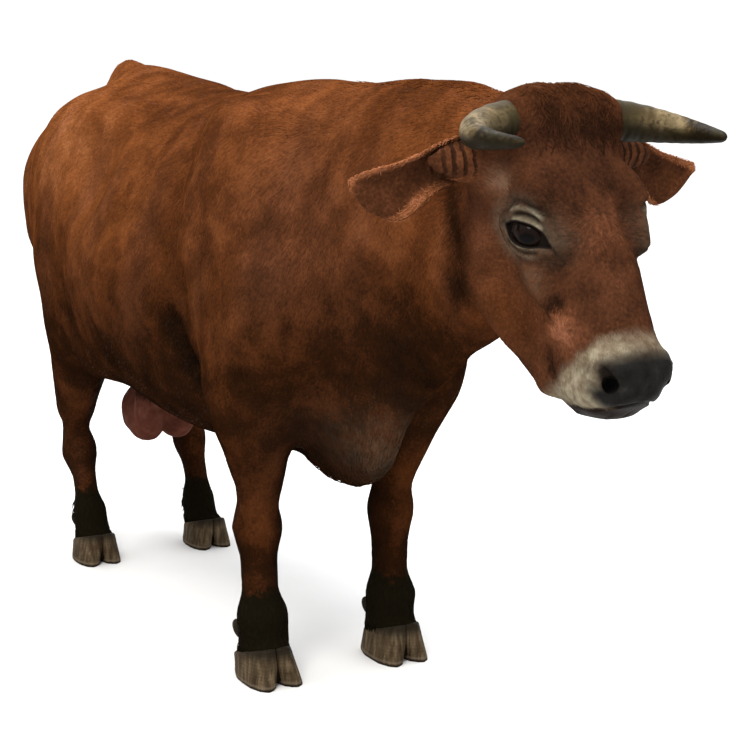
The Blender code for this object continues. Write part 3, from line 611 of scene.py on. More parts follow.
def model_body(points, normals):
    shift = np.zeros(len(points))
    for path, width, height in BODY_STROKES.values():
        for side in paired(path):
            shift += height * near(points, side, width)
    for i in range(9):
        y = -0.22 + 0.062 * i
        rib = [(0.26, y + 0.05, 1.16), (0.36, y + 0.02, 0.95), (0.34, y - 0.04, 0.76), (0.22, y - 0.08, 0.60)]
        for side in paired(rib):
            shift += 0.0022 * near(points, side, 0.016)
    for i in range(4):
        fold = [(0.10, -1.17 + 0.035 * i, 1.20 - 0.01 * i), (0.150, -1.16 + 0.045 * i, 1.08),
                (0.125, -1.145 + 0.05 * i, 0.94), (0.05, -1.12 + 0.05 * i, 0.86)]  # fmt: skip
        for side in paired(fold):
            shift -= (0.0075 - 0.0012 * i) * near(points, side, 0.011 + 0.001 * i)
    shift += 0.0035 * ripple(points, 0.21) * step(0.5, 0.7, points[:, 2]) * step(-1.25, -1.1, points[:, 1])
    return points + normals * shift[:, None]


# Head strokes are given on the head: to the side, down the face, out of the forehead.
HEAD_STROKES = {
    "brow": ([(0.070, 0.150, 0.004), (0.103, 0.185, -0.006), (0.112, 0.235, -0.012)], 0.018, 0.005),
    "temple": ([(0.108, 0.110, -0.045), (0.116, 0.150, -0.085)], 0.024, -0.005),
    "beside the whorl": ([(0.050, 0.235, 0.010), (0.066, 0.290, 0.004)], 0.018, -0.0025),
    "before the eye": ([(0.090, 0.295, -0.022), (0.078, 0.345, -0.014)], 0.014, -0.0035),
    "cheek bone": ([(0.118, 0.315, -0.140), (0.110, 0.340, -0.105), (0.096, 0.375, -0.085)], 0.013, 0.0045),
    "under the cheek bone": ([(0.114, 0.345, -0.165), (0.098, 0.385, -0.130), (0.086, 0.405, -0.115)], 0.014, -0.003),
    "nasal hollow": ([(0.094, 0.370, -0.052), (0.089, 0.390, -0.078)], 0.011, -0.005),
    "nasal bump": ([(0.080, 0.408, -0.046), (0.076, 0.430, -0.060)], 0.015, 0.0045),
    "cheek bump": ([(0.078, 0.402, -0.105), (0.074, 0.425, -0.118)], 0.016, 0.0035),
    "mouth crease": ([(0.078, 0.425, -0.136), (0.070, 0.450, -0.150), (0.064, 0.485, -0.160)], 0.0075, -0.0045),
    "behind the lip": ([(0.072, 0.455, -0.070), (0.073, 0.480, -0.095), (0.066, 0.505, -0.120)], 0.012, -0.003),
    "cheek": ([(0.118, 0.215, -0.180), (0.112, 0.270, -0.195)], 0.040, 0.005),
    "jaw edge": (
        [(0.106, 0.170, -0.245), (0.098, 0.245, -0.285), (0.088, 0.330, -0.262), (0.076, 0.420, -0.222)], 0.016, 0.004
    ),
    "nose ridge": ([(0.030, 0.330, 0.020), (0.034, 0.420, 0.016), (0.040, 0.470, 0.010)], 0.016, 0.0025),
    "pad edge": (
        [(0.0, 0.497, 0.020), (0.040, 0.500, 0.012), (0.066, 0.506, -0.006), (0.075, 0.528, -0.028)], 0.006, 0.0020
    ),
    "upper lip": (
        [(0.0, 0.560, -0.006), (0.034, 0.561, -0.030), (0.056, 0.545, -0.075), (0.062, 0.524, -0.125)], 0.011, 0.003
    ),
    "nostril wing": ([(0.071, 0.504, -0.012), (0.075, 0.527, -0.026), (0.062, 0.554, -0.030)], 0.0080, 0.0032),
    "nostril hollow": ([(0.066, 0.522, -0.006), (0.056, 0.544, -0.008)], 0.010, -0.0040),
    "groove of the nose": ([(0.0, 0.505, 0.022), (0.0, 0.562, -0.004)], 0.0040, -0.0024),
    "chin": ([(0.0, 0.590, -0.085), (0.030, 0.588, -0.090)], 0.018, 0.003),
    "under the jaw": ([(0.030, 0.350, -0.285), (0.034, 0.410, -0.250), (0.034, 0.480, -0.205)], 0.034, -0.011),
    "behind the jaw": ([(0.104, 0.120, -0.262), (0.112, 0.180, -0.268), (0.108, 0.250, -0.300)], 0.016, -0.008),
}  # fmt: skip
MOUTH = [(0.0, 0.577, -0.020), (0.030, 0.575, -0.042), (0.046, 0.570, -0.062), (0.057, 0.553, -0.100),
         (0.056, 0.533, -0.146), (0.057, 0.512, -0.180)]  # fmt: skip

# The eye's own frame starts midway between the corners of the lids: forwards to the inner corner, up and outwards.
EYE_MIDDLE = np.array((0.118, -1.462, 1.0875))
EYE_AXES = np.array(((-0.346, -0.877, -0.334), (-0.094, -0.322, 0.942), (0.934, -0.357, -0.029)))
EYE = EYE_MIDDLE + np.array((-0.004, -0.003, -0.0275)) @ EYE_AXES
UPPER_LID = [(-0.044, 0.000), (-0.031, 0.0105), (-0.010, 0.0170), (0.012, 0.0185), (0.031, 0.0130), (0.052, -0.002)]
LOWER_LID = [(-0.044, 0.000), (-0.031, -0.0120), (-0.008, -0.0185), (0.014, -0.0165), (0.033, -0.0085),
             (0.052, -0.002)]  # fmt: skip
EYE_FORWARD, EYE_HALF = 0.004, 0.048  # the opening's middle and half its length
LID_FOLDS = {
    "upper rim": ([(-0.040, 0.009), (-0.020, 0.020), (0.008, 0.0235), (0.034, 0.017)], 0.0050, 0.0026),
    "crease of the lid": ([(-0.040, 0.019), (-0.020, 0.0295), (0.004, 0.0325), (0.026, 0.0265)], 0.0034, -0.0042),
    "second fold": (
        [(-0.050, 0.018), (-0.042, 0.031), (-0.020, 0.0395), (0.006, 0.0400), (0.028, 0.0320)], 0.0052, 0.0036
    ),
    "outer crease": (
        [(-0.058, 0.016), (-0.048, 0.038), (-0.024, 0.0485), (0.004, 0.0475), (0.032, 0.036)], 0.0046, -0.0040
    ),
    "under the brow": ([(-0.048, 0.052), (-0.018, 0.060), (0.014, 0.056)], 0.0100, 0.0030),
    "lower rim": ([(-0.038, -0.012), (-0.010, -0.0225), (0.014, -0.0205), (0.036, -0.012)], 0.0036, 0.0020),
    "lower crease": ([(-0.042, -0.018), (-0.012, -0.0300), (0.016, -0.0285), (0.040, -0.018)], 0.0036, -0.0030),
    "lower fold": ([(-0.040, -0.026), (-0.010, -0.0375), (0.018, -0.0355), (0.044, -0.022)], 0.0060, 0.0022),
    "bag": ([(-0.034, -0.040), (-0.004, -0.048), (0.028, -0.040)], 0.0050, -0.0020),
    "tear line": ([(0.046, -0.001), (0.060, -0.006), (0.070, -0.014)], 0.0034, -0.0034),
    "outer corner": ([(-0.044, 0.002), (-0.056, 0.000)], 0.0040, -0.0026),
}  # fmt: skip


def facing(points):
    """Points as if both sides of the cow were its left side."""
    return np.abs(points) * (1, 0, 0) + points * (0, 1, 1)


def in_eye_frame(points):
    return (facing(points) - EYE_MIDDLE) @ EYE_AXES.T


def lid_margins(forwards):
    """Heights of the upper and lower lid's edge at these places between the corners."""
    upper, lower = curve_through(UPPER_LID, 60), curve_through(LOWER_LID, 60)
    return np.interp(forwards, *upper.T), np.interp(forwards, *lower.T)


def outside_lids(seen):
    """Distance from the eye's opening, less than 0 within it, for places in the eye's frame."""
    edge = np.concatenate([curve_through(UPPER_LID, 60), curve_through(LOWER_LID, 60)[::-1]])
    away, _ = distance_to(edge, seen[:, :2])
    upper, lower = lid_margins(seen[:, 0])
    inside = (seen[:, 1] < upper) & (seen[:, 1] > lower) & (np.abs(seen[:, 0] - EYE_FORWARD) < EYE_HALF)
    return np.where(inside, -away, away)


def over_eyeball(seen, gap):
    """Height over the plane of the lids of a dome that clears the eyeball by a gap, and levels out beyond it."""
    centre = (EYE - EYE_MIDDLE) @ EYE_AXES.T
    reach = np.linalg.norm(seen[:, :2] - centre[:2], axis=1)
    dome = centre[2] + np.sqrt(np.maximum((EYE_RADIUS + gap) ** 2 - reach**2, 0.0)) - 0.0005
    rest = -0.0015 + gap
    return (dome + rest + np.sqrt((dome - rest) ** 2 + 0.005**2)) / 2


def model_head(points, normals):
    shift = np.zeros(len(points))
    for path, width, height in HEAD_STROKES.values():
        for side in paired(head_path(*path)):
            shift += height * near(points, side, width)
    for side in paired(head_path(*MOUTH)):
        shift -= 0.0050 * near(points, side, 0.0034)
    return points + normals * shift[:, None]


def model_lids(points):
    """Lays the skin over the eyeball and folds it into lids."""
    touched = np.flatnonzero(np.linalg.norm(facing(points) - EYE_MIDDLE, axis=1) < 0.10)
    seen = in_eye_frame(points[touched])
    around = outside_lids(seen)
    height = over_eyeball(seen, 0.0042)
    hold = step(0.034, 0.012, around)
    lift = hold * (height - seen[:, 2])
    flat = seen * (1, 1, 0)
    for path, width, amount in LID_FOLDS.values():
        path = [(*place, 0.0) for place in path]
        lift += amount * near(flat, path, width)
    sides = np.where(points[touched, :1] < 0, -1.0, 1.0)
    moved = points.copy()
    moved[touched] += lift[:, None] * EYE_AXES[2] * np.hstack([sides, np.ones((len(sides), 2))])
    return moved


def eye_opening(side):
    """The space between the lids, from just under the eyeball's surface outwards."""
    shape = bmesh.new()
    bmesh.ops.create_uvsphere(shape, u_segments=80, v_segments=24, radius=1)
    places = np.array([vert.co for vert in shape.verts])
    turn = np.arctan2(places[:, 1], places[:, 0])
    share = np.where(places[:, 2] > -0.05, 1.0, np.hypot(places[:, 0], places[:, 1]))
    share[np.hypot(places[:, 0], places[:, 1]) < 1e-4] = 0
    forwards = EYE_FORWARD + EYE_HALF * np.cos(turn)
    upper, lower = lid_margins(forwards)
    up = np.where(turn > 0, upper, lower)
    middle = (upper + lower) / 2
    up = middle + (up - middle) * share
    forwards = EYE_FORWARD + (forwards - EYE_FORWARD) * share
    seen = np.stack([forwards, up, np.zeros(len(up))], 1)
    floor = over_eyeball(seen, -0.0030) - 0.0005
    seen[:, 2] = np.where(places[:, 2] > 0.05, 0.045, floor)
    points = (EYE_MIDDLE + seen @ EYE_AXES) * (side, 1, 1)
    for vert, point in zip(shape.verts, packed(points)):
        vert.co = point
    bmesh.ops.remove_doubles(shape, verts=shape.verts, dist=1e-6)
    bmesh.ops.recalc_face_normals(shape, faces=shape.faces)
    return new_piece("eye opening", shape)


def ring_of_edges(shape, centre, ahead, radius, sides):
    """A circle round a path, as its edges."""
    turned = Matrix.Translation(packed(centre)) @ ahead.to_track_quat("Z", "Y").to_matrix().to_4x4()
    ring = bmesh.ops.create_circle(shape, segments=sides, radius=radius, matrix=turned)["verts"]
    return list({edge for vert in ring for edge in vert.link_edges})


def close_rings(shape, loops):
    """Skins a row of rings and caps both ends."""
    for near_loop, far_loop in zip(loops, loops[1:]):
        bmesh.ops.bridge_loops(shape, edges=near_loop + far_loop)
    bmesh.ops.holes_fill(shape, edges=loops[0] + loops[-1])


def tube(shape, path, radii, sides=20):
    """A closed tube whose radius runs through the given ones."""
    centres = curve_through(path, 26)
    loops = []
    for i, centre in enumerate(centres):
        radius = np.interp(i / 25, np.linspace(0, 1, len(radii)), radii)
        ahead = Vector(centres[min(i + 1, 25)] - centres[max(i - 1, 0)])
        loops.append(ring_of_edges(shape, centre, ahead, float(radius), sides))
    close_rings(shape, loops)


def nostril(side):
    """A comma: a tail high on the wing widens downwards and dives into the nose, and a slit runs on inwards."""
    shape = bmesh.new()
    wing = head_path((0.0765, 0.503, -0.012), (0.0745, 0.518, -0.008), (0.0685, 0.536, -0.008),
                     (0.0560, 0.542, -0.022), (0.0470, 0.524, -0.048))  # fmt: skip
    slit = head_path((0.0680, 0.540, -0.008), (0.0560, 0.553, -0.006), (0.0400, 0.561, -0.002))
    tube(shape, np.array(wing) * (side, 1, 1), (0.0040, 0.0095, 0.0145, 0.0130, 0.0070))
    tube(shape, np.array(slit) * (side, 1, 1), (0.0110, 0.0080, 0.0030))
    bmesh.ops.recalc_face_normals(shape, faces=shape.faces)
    return remeshed(new_piece("nostril", shape), 0.0012)


def open_eyes_and_nostrils(skin):
    for side in (1, -1):
        boolean(skin, eye_opening(side), "DIFFERENCE")
        boolean(skin, nostril(side), "DIFFERENCE")
    points = own(points_of(skin.data))
    rim = step(0.0030, 0.0012, np.abs(outside_lids(in_eye_frame(points)))) * blob(facing(points), EYE_MIDDLE, 0.08)
    hollow = blob(facing(points), on_head(0.062, 0.532, -0.006), 0.016)
    evened(skin.data, 3, 0.5 * np.clip(2 * rim + 1.2 * hollow, 0, 1))


def build_skin():
    flesh = ["barrel", "chest", "hindquarters", "neck", "head", "lower_jaw", "udder", "tail", "left_eye", "right_eye"]
    for side in ("left", "right"):
        for row in ("fore", "hind"):
            flesh += [f"{side}_{row}_{part}" for part in ("leg", "cannon", "pastern", "outer_claw", "inner_claw")]
    whole = flesh_copy(flesh, 0.0006)
    shape = bmesh.new()
    shape.from_mesh(whole.data)
    for side in (1, -1):
        half = Matrix.Translation(packed((0.044 * side, 0.478, 0.408))) @ Matrix.Diagonal((0.050, 0.088, 0.064, 1))
        bmesh.ops.create_uvsphere(shape, u_segments=32, v_segments=20, radius=1, matrix=half)
        ear_root = Matrix.Translation(packed((0.170 * side, -1.338, 1.206)))
        ear_root = ear_root @ Matrix.Diagonal((0.074, 0.022, 0.031, 1))
        bmesh.ops.create_uvsphere(shape, u_segments=32, v_segments=20, radius=1, matrix=ear_root)
    shape.to_mesh(whole.data)
    shape.free()
    skin = remeshed(whole, SKIN_VOXEL)
    skin.name = "skin"
    mesh = skin.data
    points = own(points_of(mesh))
    trunk = step(0.50, 0.72, points[:, 2]) * step(-1.22, -1.05, points[:, 1])
    evened(mesh, 14, 0.5 * trunk)
    evened(mesh, 10, 0.5, back=1.04)
    refined(skin, lambda p: p[:, 1] < -1.27)
    refined(skin, lambda p: (p[:, 1] < -1.27) & (blob(p * (0, 1, 1), on_head(0, 0.510, -0.060), 0.085) > 0.35))
    refined(skin, lambda p: np.linalg.norm(facing(p) - EYE_MIDDLE, axis=1) < 0.080)
    mesh = skin.data
    points = own(points_of(mesh))
    evened(mesh, 6, 0.5 * step(-1.22, -1.30, points[:, 1]), back=1.04)
    refined(skin, lambda p: np.linalg.norm(facing(p) - EYE_MIDDLE, axis=1) < 0.054)
    refined(skin, lambda p: sum(near(p, side, 0.009) for side in paired(head_path(*MOUTH))) > 0.3)
    refined(skin, lambda p: blob(facing(p), on_head(0.062, 0.530, -0.006), 0.030) > 0.4)
    mesh = skin.data
    for model in (model_body, model_head):
        points = own(points_of(mesh))
        move_points(mesh, packed(model(points, normals_of(mesh))))
    points = own(points_of(mesh))
    inwards = coat_depth(points)
    move_points(mesh, packed(points - normals_of(mesh) * inwards[:, None]))
    points = own(points_of(mesh))
    near_eye = np.linalg.norm(facing(points) - EYE_MIDDLE, axis=1) < 0.07
    move_points(mesh, packed(model_lids(points)))
    evened(mesh, 2, 0.4 * near_eye)
    return skin


def coat_depth(points):
    """How far the skin lies inside the coat's tips."""
    depth = np.full(len(points), 0.0040)
    head = step(-1.24, -1.34, points[:, 1])
    depth += (0.0020 - depth) * head
    depth += (0.0032 - depth) * step(0.55, 0.40, points[:, 2])
    muzzle = step(0.46, 0.53, (points - POLL) @ FACE_DOWN) * head
    depth += (0.0003 - depth) * muzzle
    hoof = step(0.090, 0.060, points[:, 2])
    return depth + (0.0075 - depth) * hoof


# ---------------------------------------------------------------- ears and teats, joined to the skin
EAR_ROOT = np.array((0.128, -1.332, 1.218))
EAR_TIP = np.array((0.370, -1.306, 1.172))
LEFT_EAR_LIFT = 0.006
# Share of the length, upper edge, lower edge, how deep the ear is cupped.
EAR_STATIONS = np.array([
    (0.00, 0.038, -0.038, 0.026),
    (0.16, 0.039, -0.037, 0.028),
    (0.32, 0.033, -0.040, 0.030),
    (0.46, 0.024, -0.054, 0.028),
    (0.62, 0.015, -0.082, 0.020),
    (0.80, 0.010, -0.072, 0.013),
    (0.92, 0.006, -0.045, 0.007),
    (1.00, 0.001, -0.011, 0.002),
])  # fmt: skip
EAR_THICKNESS = 0.0042
# Under the ear's rolled lower edge.
EAR_FOLD = [(0.2043, -1.3087, 1.1734), (0.1901, -1.3184, 1.1718), (0.172, -1.335, 1.160)]


def along_stations(stations, at):
    """Every column of a station table at these places, smoothly."""
    places = stations[:, 0]
    left = np.clip(np.searchsorted(places, at) - 1, 0, len(places) - 2)
    span = (places[left + 1] - places[left])[:, None]
    t = (at - places[left])[:, None] / span
    slopes = np.gradient(stations[:, 1:], places, axis=0)
    return (
        (2 * t**3 - 3 * t**2 + 1) * stations[left, 1:]
        + (t**3 - 2 * t**2 + t) * span * slopes[left]
        + (3 * t**2 - 2 * t**3) * stations[left + 1, 1:]
        + (t**3 - t**2) * span * slopes[left + 1]
    )


def on_ear(seen):
    """Share of the way along the ear, height over its middle line, and its upper and lower edge there."""
    along = np.clip((seen[:, 0] - EAR_ROOT[0]) / (EAR_TIP[0] - EAR_ROOT[0]), 0, 1)
    above, below = along_stations(EAR_STATIONS, along).T[:2]
    return along, seen[:, 2] - (EAR_ROOT[2] + along * (EAR_TIP[2] - EAR_ROOT[2])), above, below


def ear_axes(side):
    root = EAR_ROOT * (side, 1, 1)
    tip = (EAR_TIP + (0, 0, LEFT_EAR_LIFT * (side > 0))) * (side, 1, 1)
    along = (tip - root) / np.linalg.norm(tip - root)
    back = np.array((-0.12 * side, 0.95, 0.28))
    back -= along * (back @ along)
    back /= np.linalg.norm(back)
    up = np.cross(back, along)
    return root, tip, along, back, up if up[2] > 0 else -up


def ear_shape(side):
    """A cupped leaf that opens forwards: a grid laid over the ear's stations, then given its thickness."""
    root, tip, along, back, up = ear_axes(side)
    shape = bmesh.new()
    bmesh.ops.create_grid(shape, x_segments=34, y_segments=22, size=0.5)
    share = np.array([vert.co.x + 0.5 for vert in shape.verts])
    across = np.array([vert.co.y + 0.5 for vert in shape.verts])
    share = 1 - (1 - share) ** 1.15
    top, bottom, cup = along_stations(EAR_STATIONS, share).T
    bow = 4 * across * (1 - across)
    waves = 0.0016 * np.sin(9 * share + 5 * across) * step(0.1, 0.4, share)
    ridges = 0.0022 * np.cos(across * 6 * math.pi) * step(0.55, 0.15, share) * bow
    lean = cup * (bow - 0.55) + 0.012 * (1 - across) ** 3 + waves + ridges
    middle = root + share[:, None] * (tip - root)
    points = middle + (top + (bottom - top) * across)[:, None] * up + lean[:, None] * back
    for vert, point in zip(shape.verts, packed(points)):
        vert.co = point
    bmesh.ops.recalc_face_normals(shape, faces=shape.faces)
    bmesh.ops.solidify(shape, geom=list(shape.faces), thickness=EAR_THICKNESS)
    bmesh.ops.recalc_face_normals(shape, faces=shape.faces)
    return shape


def teat_shape(shape, side, place):
    turned = Matrix.Translation(packed(np.array(place) * (side, 1, 1))) @ Matrix.Diagonal((0.0095, 0.0095, 0.013, 1))
    bmesh.ops.create_uvsphere(shape, u_segments=16, v_segments=12, radius=1, matrix=turned)


TEATS = ((0.050, 0.436, 0.372), (0.050, 0.520, 0.368))


def join_ears_and_teats(skin):
    added = bmesh.new()
    for side in (1, -1):
        ear = ear_shape(side)
        mesh = bpy.data.meshes.new("ear")
        ear.to_mesh(mesh)
        ear.free()
        added.from_mesh(mesh)
        for place in TEATS:
            teat_shape(added, side, place)
    boolean(skin, new_piece("ears and teats", added), "UNION")
    mesh = skin.data
    points = own(points_of(mesh))
    mirrored = facing(points)
    root = 1.2 * blob(mirrored, EAR_ROOT + (0.012, 0.004, 0.0), 0.055)
    teats = sum(blob(mirrored, np.array(place) + (0, 0, 0.02), 0.018) for place in TEATS)
    evened(mesh, 5, np.clip(root + teats, 0, 0.5))
    refined(skin, lambda p: near(facing(p), EAR_FOLD, 0.010) > 0.3)
    mesh = skin.data
    points = own(points_of(mesh))
    sunk = 0.0030 * near(facing(points), EAR_FOLD, 0.0042)
    move_points(mesh, packed(points - normals_of(mesh) * sunk[:, None]))


# ---------------------------------------------------------------- horns, eyes, claws and dewclaws
def finished(piece, body_material, slot, *nodes):
    piece.data.materials.clear()
    piece.data.materials.append(body_material)
    piece.data.shade_smooth()
    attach(piece, "root")
    if nodes:
        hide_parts(*nodes)
    return piece


def set_values(mesh, name, values, kind="FLOAT"):
    layer = mesh.attributes.new(name, kind, "POINT")
    layer.data.foreach_set("value" if kind == "FLOAT" else "vector", np.ascontiguousarray(values, np.float32).ravel())


def bezier(points, t):
    points = [np.array(point, float) for point in points]
    while len(points) > 1:
        points = [a + (b - a) * t for a, b in zip(points, points[1:])]
    return points[0]


HORN_PATH = [(0.060, -1.378, 1.274), (0.170, -1.385, 1.270), (0.262, -1.420, 1.248), (0.205, -1.578, 1.246)]
HORN_BASE, HORN_TIP = 0.039, 0.0085


def horn(name, side):
    """A tapered horn: one ring spun along its path, closed over the blunt tip, with growth rings near its base."""
    path = [np.array(point) * (side, 1, 1) for point in HORN_PATH]
    around, rings = 40, 90
    shape = bmesh.new()
    loops, shares = [], []
    for i in range(rings + 1):
        t = i / rings
        centre = bezier(path, t)
        ahead = Vector(bezier(path, min(t + 0.01, 1)) - bezier(path, max(t - 0.01, 0)))
        radius = HORN_TIP + (HORN_BASE - HORN_TIP) * (1 - t**1.6)
        radius *= 1 + 0.018 * math.sin(70 * t + 2 * math.sin(9 * t)) * (1 - t) ** 0.7 * (0.2 < t)
        radius *= math.sqrt(max(1 - (max(t - 0.955, 0) / 0.0465) ** 2, 0.0))
        loops.append(ring_of_edges(shape, centre, ahead, max(radius, 0.0006), around))
        shares += [t] * around
    close_rings(shape, loops)
    bmesh.ops.recalc_face_normals(shape, faces=shape.faces)
    made = new_piece(name, shape)
    set_values(made.data, "along", shares)
    # How much each place faces down, for the painted shade on the horn's underside.
    set_values(made.data, "under", step(0.45, -0.40, normals_of(made.data)[:, 2]))
    return made


def eyeball(name, side):
    """A ball with a bulging cornea, its pupil's axis out, forward and a little down."""
    shape = bmesh.new()
    bmesh.ops.create_uvsphere(shape, u_segments=64, v_segments=40, radius=1)
    local = np.array([vert.co for vert in shape.verts])
    bulge = 1 + 0.045 * step(0.80, 1.0, local[:, 2])
    gaze = Vector((0.80 * side, -0.58, -0.14)).normalized()
    turn = gaze.to_track_quat("Z", "Y").to_matrix().to_4x4()
    matrix = Matrix.Translation(packed(EYE * (side, 1, 1))) @ turn @ Matrix.Scale(EYE_RADIUS - 0.0008, 4)
    for vert, grown in zip(shape.verts, bulge):
        vert.co = matrix @ (vert.co * grown)
    made = new_piece(name, shape)
    across = np.where(local[:, 2:] > 0, local * (1, 1, 0), local * (4, 4, 0))
    set_values(made.data, "iris", across, "FLOAT_VECTOR")
    return made


def claw(name):
    """A hoof's claw, rounded and ringed, from its plain solid."""
    made = remeshed(flesh_copy([name], 0.0), 0.0030)
    made.name = name + "_horn"
    points = points_of(made.data)
    low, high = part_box(name)
    evened(made.data, 7, 0.5)
    smooth = points_of(made.data)
    smooth[:, 2] = np.where(points[:, 2] < 0.012, smooth[:, 2] - (smooth[:, 2] - points[:, 2]) * 0.9, smooth[:, 2])
    middle = (np.array(low) + np.array(high)) / 2
    slant = smooth[:, 2] + 0.28 * (smooth[:, 1] - middle[1])
    outward = normals_of(made.data) * (1, 1, 0)
    rings = 0.00045 * ripple(smooth * (0.2, 0.2, 1.0) + slant[:, None] * (0, 0, 0.4), 0.012)
    rings *= step(0.006, 0.016, smooth[:, 2])
    smooth += outward * (0.0006 + rings)[:, None]
    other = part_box(name.replace("outer", "inner") if "outer" in name else name.replace("inner", "outer"))
    towards = math.copysign(1.0, other[0].x + other[1].x - low[0] - high[0])
    facing_cleft = step(0.2, 0.8, normals_of(made.data)[:, 0] * towards) * step(0.010, 0.050, smooth[:, 2])
    toes = step(0.20, 0.05, (smooth[:, 1] - low[1]) / (high[1] - low[1])) * step(0.045, 0.015, smooth[:, 2])
    smooth[:, 0] += towards * 0.0062 * facing_cleft * (1 - 0.8 * toes)
    smooth[:, 2] = np.maximum(smooth[:, 2], 0.0)
    move_points(made.data, smooth)
    return made


def cleft(row):
    """How far a left hoof's cleft is from the middle of the cow."""
    return sum(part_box(f"left_{row}_{which}_claw")[end].x for which in ("outer", "inner") for end in (0, 1)) / 4


CLEFTS = np.array([cleft("fore"), cleft("hind")])
DEWCLAWS = {"fore": (-0.450, 0.104, 1.0), "hind": (0.654, 0.098, 0.85)}


def dewclaw(name, side, row, out):
    y, z, size = DEWCLAWS[row]
    lean = Matrix.Rotation(math.radians(-38), 4, "X") @ Matrix.Rotation(math.radians(out * 14), 4, "Y")
    place = packed((side * 0.168 + out * 0.029 * size + 0.005, y, z))
    shape = bmesh.new()
    bmesh.ops.create_uvsphere(
        shape, u_segments=20, v_segments=16, radius=1,
        matrix=Matrix.Translation(place) @ lean @ Matrix.Diagonal((0.015 * size, 0.017 * size, 0.027 * size, 1)),
    )  # fmt: skip
    return new_piece(name, shape)


def build_hard_pieces():
    horn_stuff, claw_stuff, eye_stuff = (
        material(name, finish) for name, finish in (("horn", horn_finish), ("claw", claw_finish), ("eye", eye_finish))
    )
    for word, side in (("left", 1), ("right", -1)):
        finished(horn(f"{word}_horn_sheath", side), horn_stuff, "horn", f"{word}_horn")
        finished(eyeball(f"{word}_eyeball", side), eye_stuff, "eye", f"{word}_eye")
        for row in ("fore", "hind"):
            for place, out in (("outer", side), ("inner", -side)):
                node = f"{word}_{row}_{place}_claw"
                finished(claw(node), claw_stuff, "hoof", node)
                node = f"{word}_{row}_{place}_dewclaw"
                finished(dewclaw(node + "_horn", side, row, out), claw_stuff, "hoof", node)


# ---------------------------------------------------------------- markings, with painted shade and painted light
KINDS = ("tone", "rose", "dusk", "pale", "shade", "slick", "pink", "fold", "folded")


# How much lighter or darker the coat is round a place on the left side, and how far that reaches.
BODY_TONES = (
    (0.17, (0.14, 0.78, 1.24), (0.22, 0.24, 0.18)),  # rump
    (0.27, (0.28, 0.34, 1.18), (0.17, 0.22, 0.13)),  # hook of the hip
    (-0.06, (0.0, 0.0, 1.32), (0.20, 0.40, 0.12)),  # back
    (-0.12, (0.0, -0.2, 1.30), (0.25, 0.40, 0.14)),
    (0.05, (0.0, 0.85, 1.28), (0.25, 0.22, 0.14)),  # root of the tail
    (0.06, (0.20, -0.52, 1.16), (0.14, 0.20, 0.14)),  # shoulder
    (-0.12, (0.25, -0.60, 1.05), (0.12, 0.24, 0.20)),
    (-0.09, (0.30, -0.30, 0.95), (0.12, 0.10, 0.26)),  # behind it
    (0.05, (0.34, 0.10, 1.00), (0.10, 0.30, 0.14)),  # ribs
    (-0.12, (0.30, -0.12, 0.76), (0.10, 0.20, 0.16)),
    # Painted shade on the thigh.
    (-0.09, (0.30, 0.45, 0.90), (0.14, 0.16, 0.20)),  # thigh
    (-0.15, (0.0, -1.05, 1.34), (0.10, 0.30, 0.10)),  # crest
    (-0.20, (0.12, -1.07, 0.84), (0.16, 0.17, 0.12)),  # throat
    # Painted shade on the front of the chest.
    (-0.19, (0.0, -0.88, 0.86), (0.24, 0.20, 0.22)),  # front of the chest
    (0.17, (0.0, -0.82, 0.58), (0.22, 0.16, 0.10)),  # brisket
)
# Painted shade along creases, and a painted highlight on the edge of the arm: stroke, how much darker or lighter, and
# how far that reaches.
CREASE_SHADE_AND_LIGHT = (
    ("girth crease", -0.26, 0.038),
    ("stifle fold", -0.20, 0.030),
    ("arm to chest", -0.09, 0.034),
    ("behind the shoulder", -0.07, 0.050),
    ("flank fold", -0.10, 0.050),
    ("thigh groove", -0.08, 0.040),
    ("edge of the arm", 0.10, 0.030),
)
# The same on the head: to the side, down the face and out of the forehead.
FACE_TONES = (
    (-0.20, (0.0, 0.03, 0.00), (0.09, 0.06, 0.06)),  # poll
    (-0.17, (0.040, 0.100, 0.01), (0.070, 0.030, 0.05)),
    (-0.16, (0.04, 0.18, 0.00), (0.09, 0.08, 0.06)),  # brow
    (0.07, (0.085, 0.150, -0.020), 0.030),
    (0.30, (0.125, 0.156, -0.068), 0.024),  # over the eye
    (0.05, (0.0, 0.28, 0.015), (0.030, 0.035, 0.04)),  # whorl
    (-0.05, (0.035, 0.38, 0.01), (0.06, 0.08, 0.05)),  # nose
    (0.07, (0.11, 0.25, -0.13), 0.07),  # cheek
    (0.08, (0.11, 0.315, -0.20), 0.045),
    # The nasal and cheek bumps are lighter, partly their own colour and partly a painted highlight.
    (0.44, (0.082, 0.424, -0.076), 0.036),  # nasal bump
    (0.18, (0.078, 0.405, -0.112), 0.026),
)
# Painted shade along the hollow before the eye, the nasal hollow and the mouth crease: how much darker, the path on
# the head, and its width.
FACE_CREASE_SHADE = (
    (-0.08, [(0.084, 0.290, -0.020), (0.070, 0.345, -0.006), (0.055, 0.40, 0.0)], 0.022),
    (-0.34, [(0.090, 0.386, -0.040), (0.089, 0.374, -0.068), (0.092, 0.386, -0.098)], 0.011),
    (-0.24, [(0.080, 0.420, -0.136), (0.070, 0.450, -0.150), (0.064, 0.485, -0.160)], 0.011),
)
WHORL_DOWN = 0.288  # the whorl's place down the face


def stroke(seen, path, width):
    """Like near, for places already brought to the cow's left side and a path on the head."""
    return near(seen, head_path(*path), width)


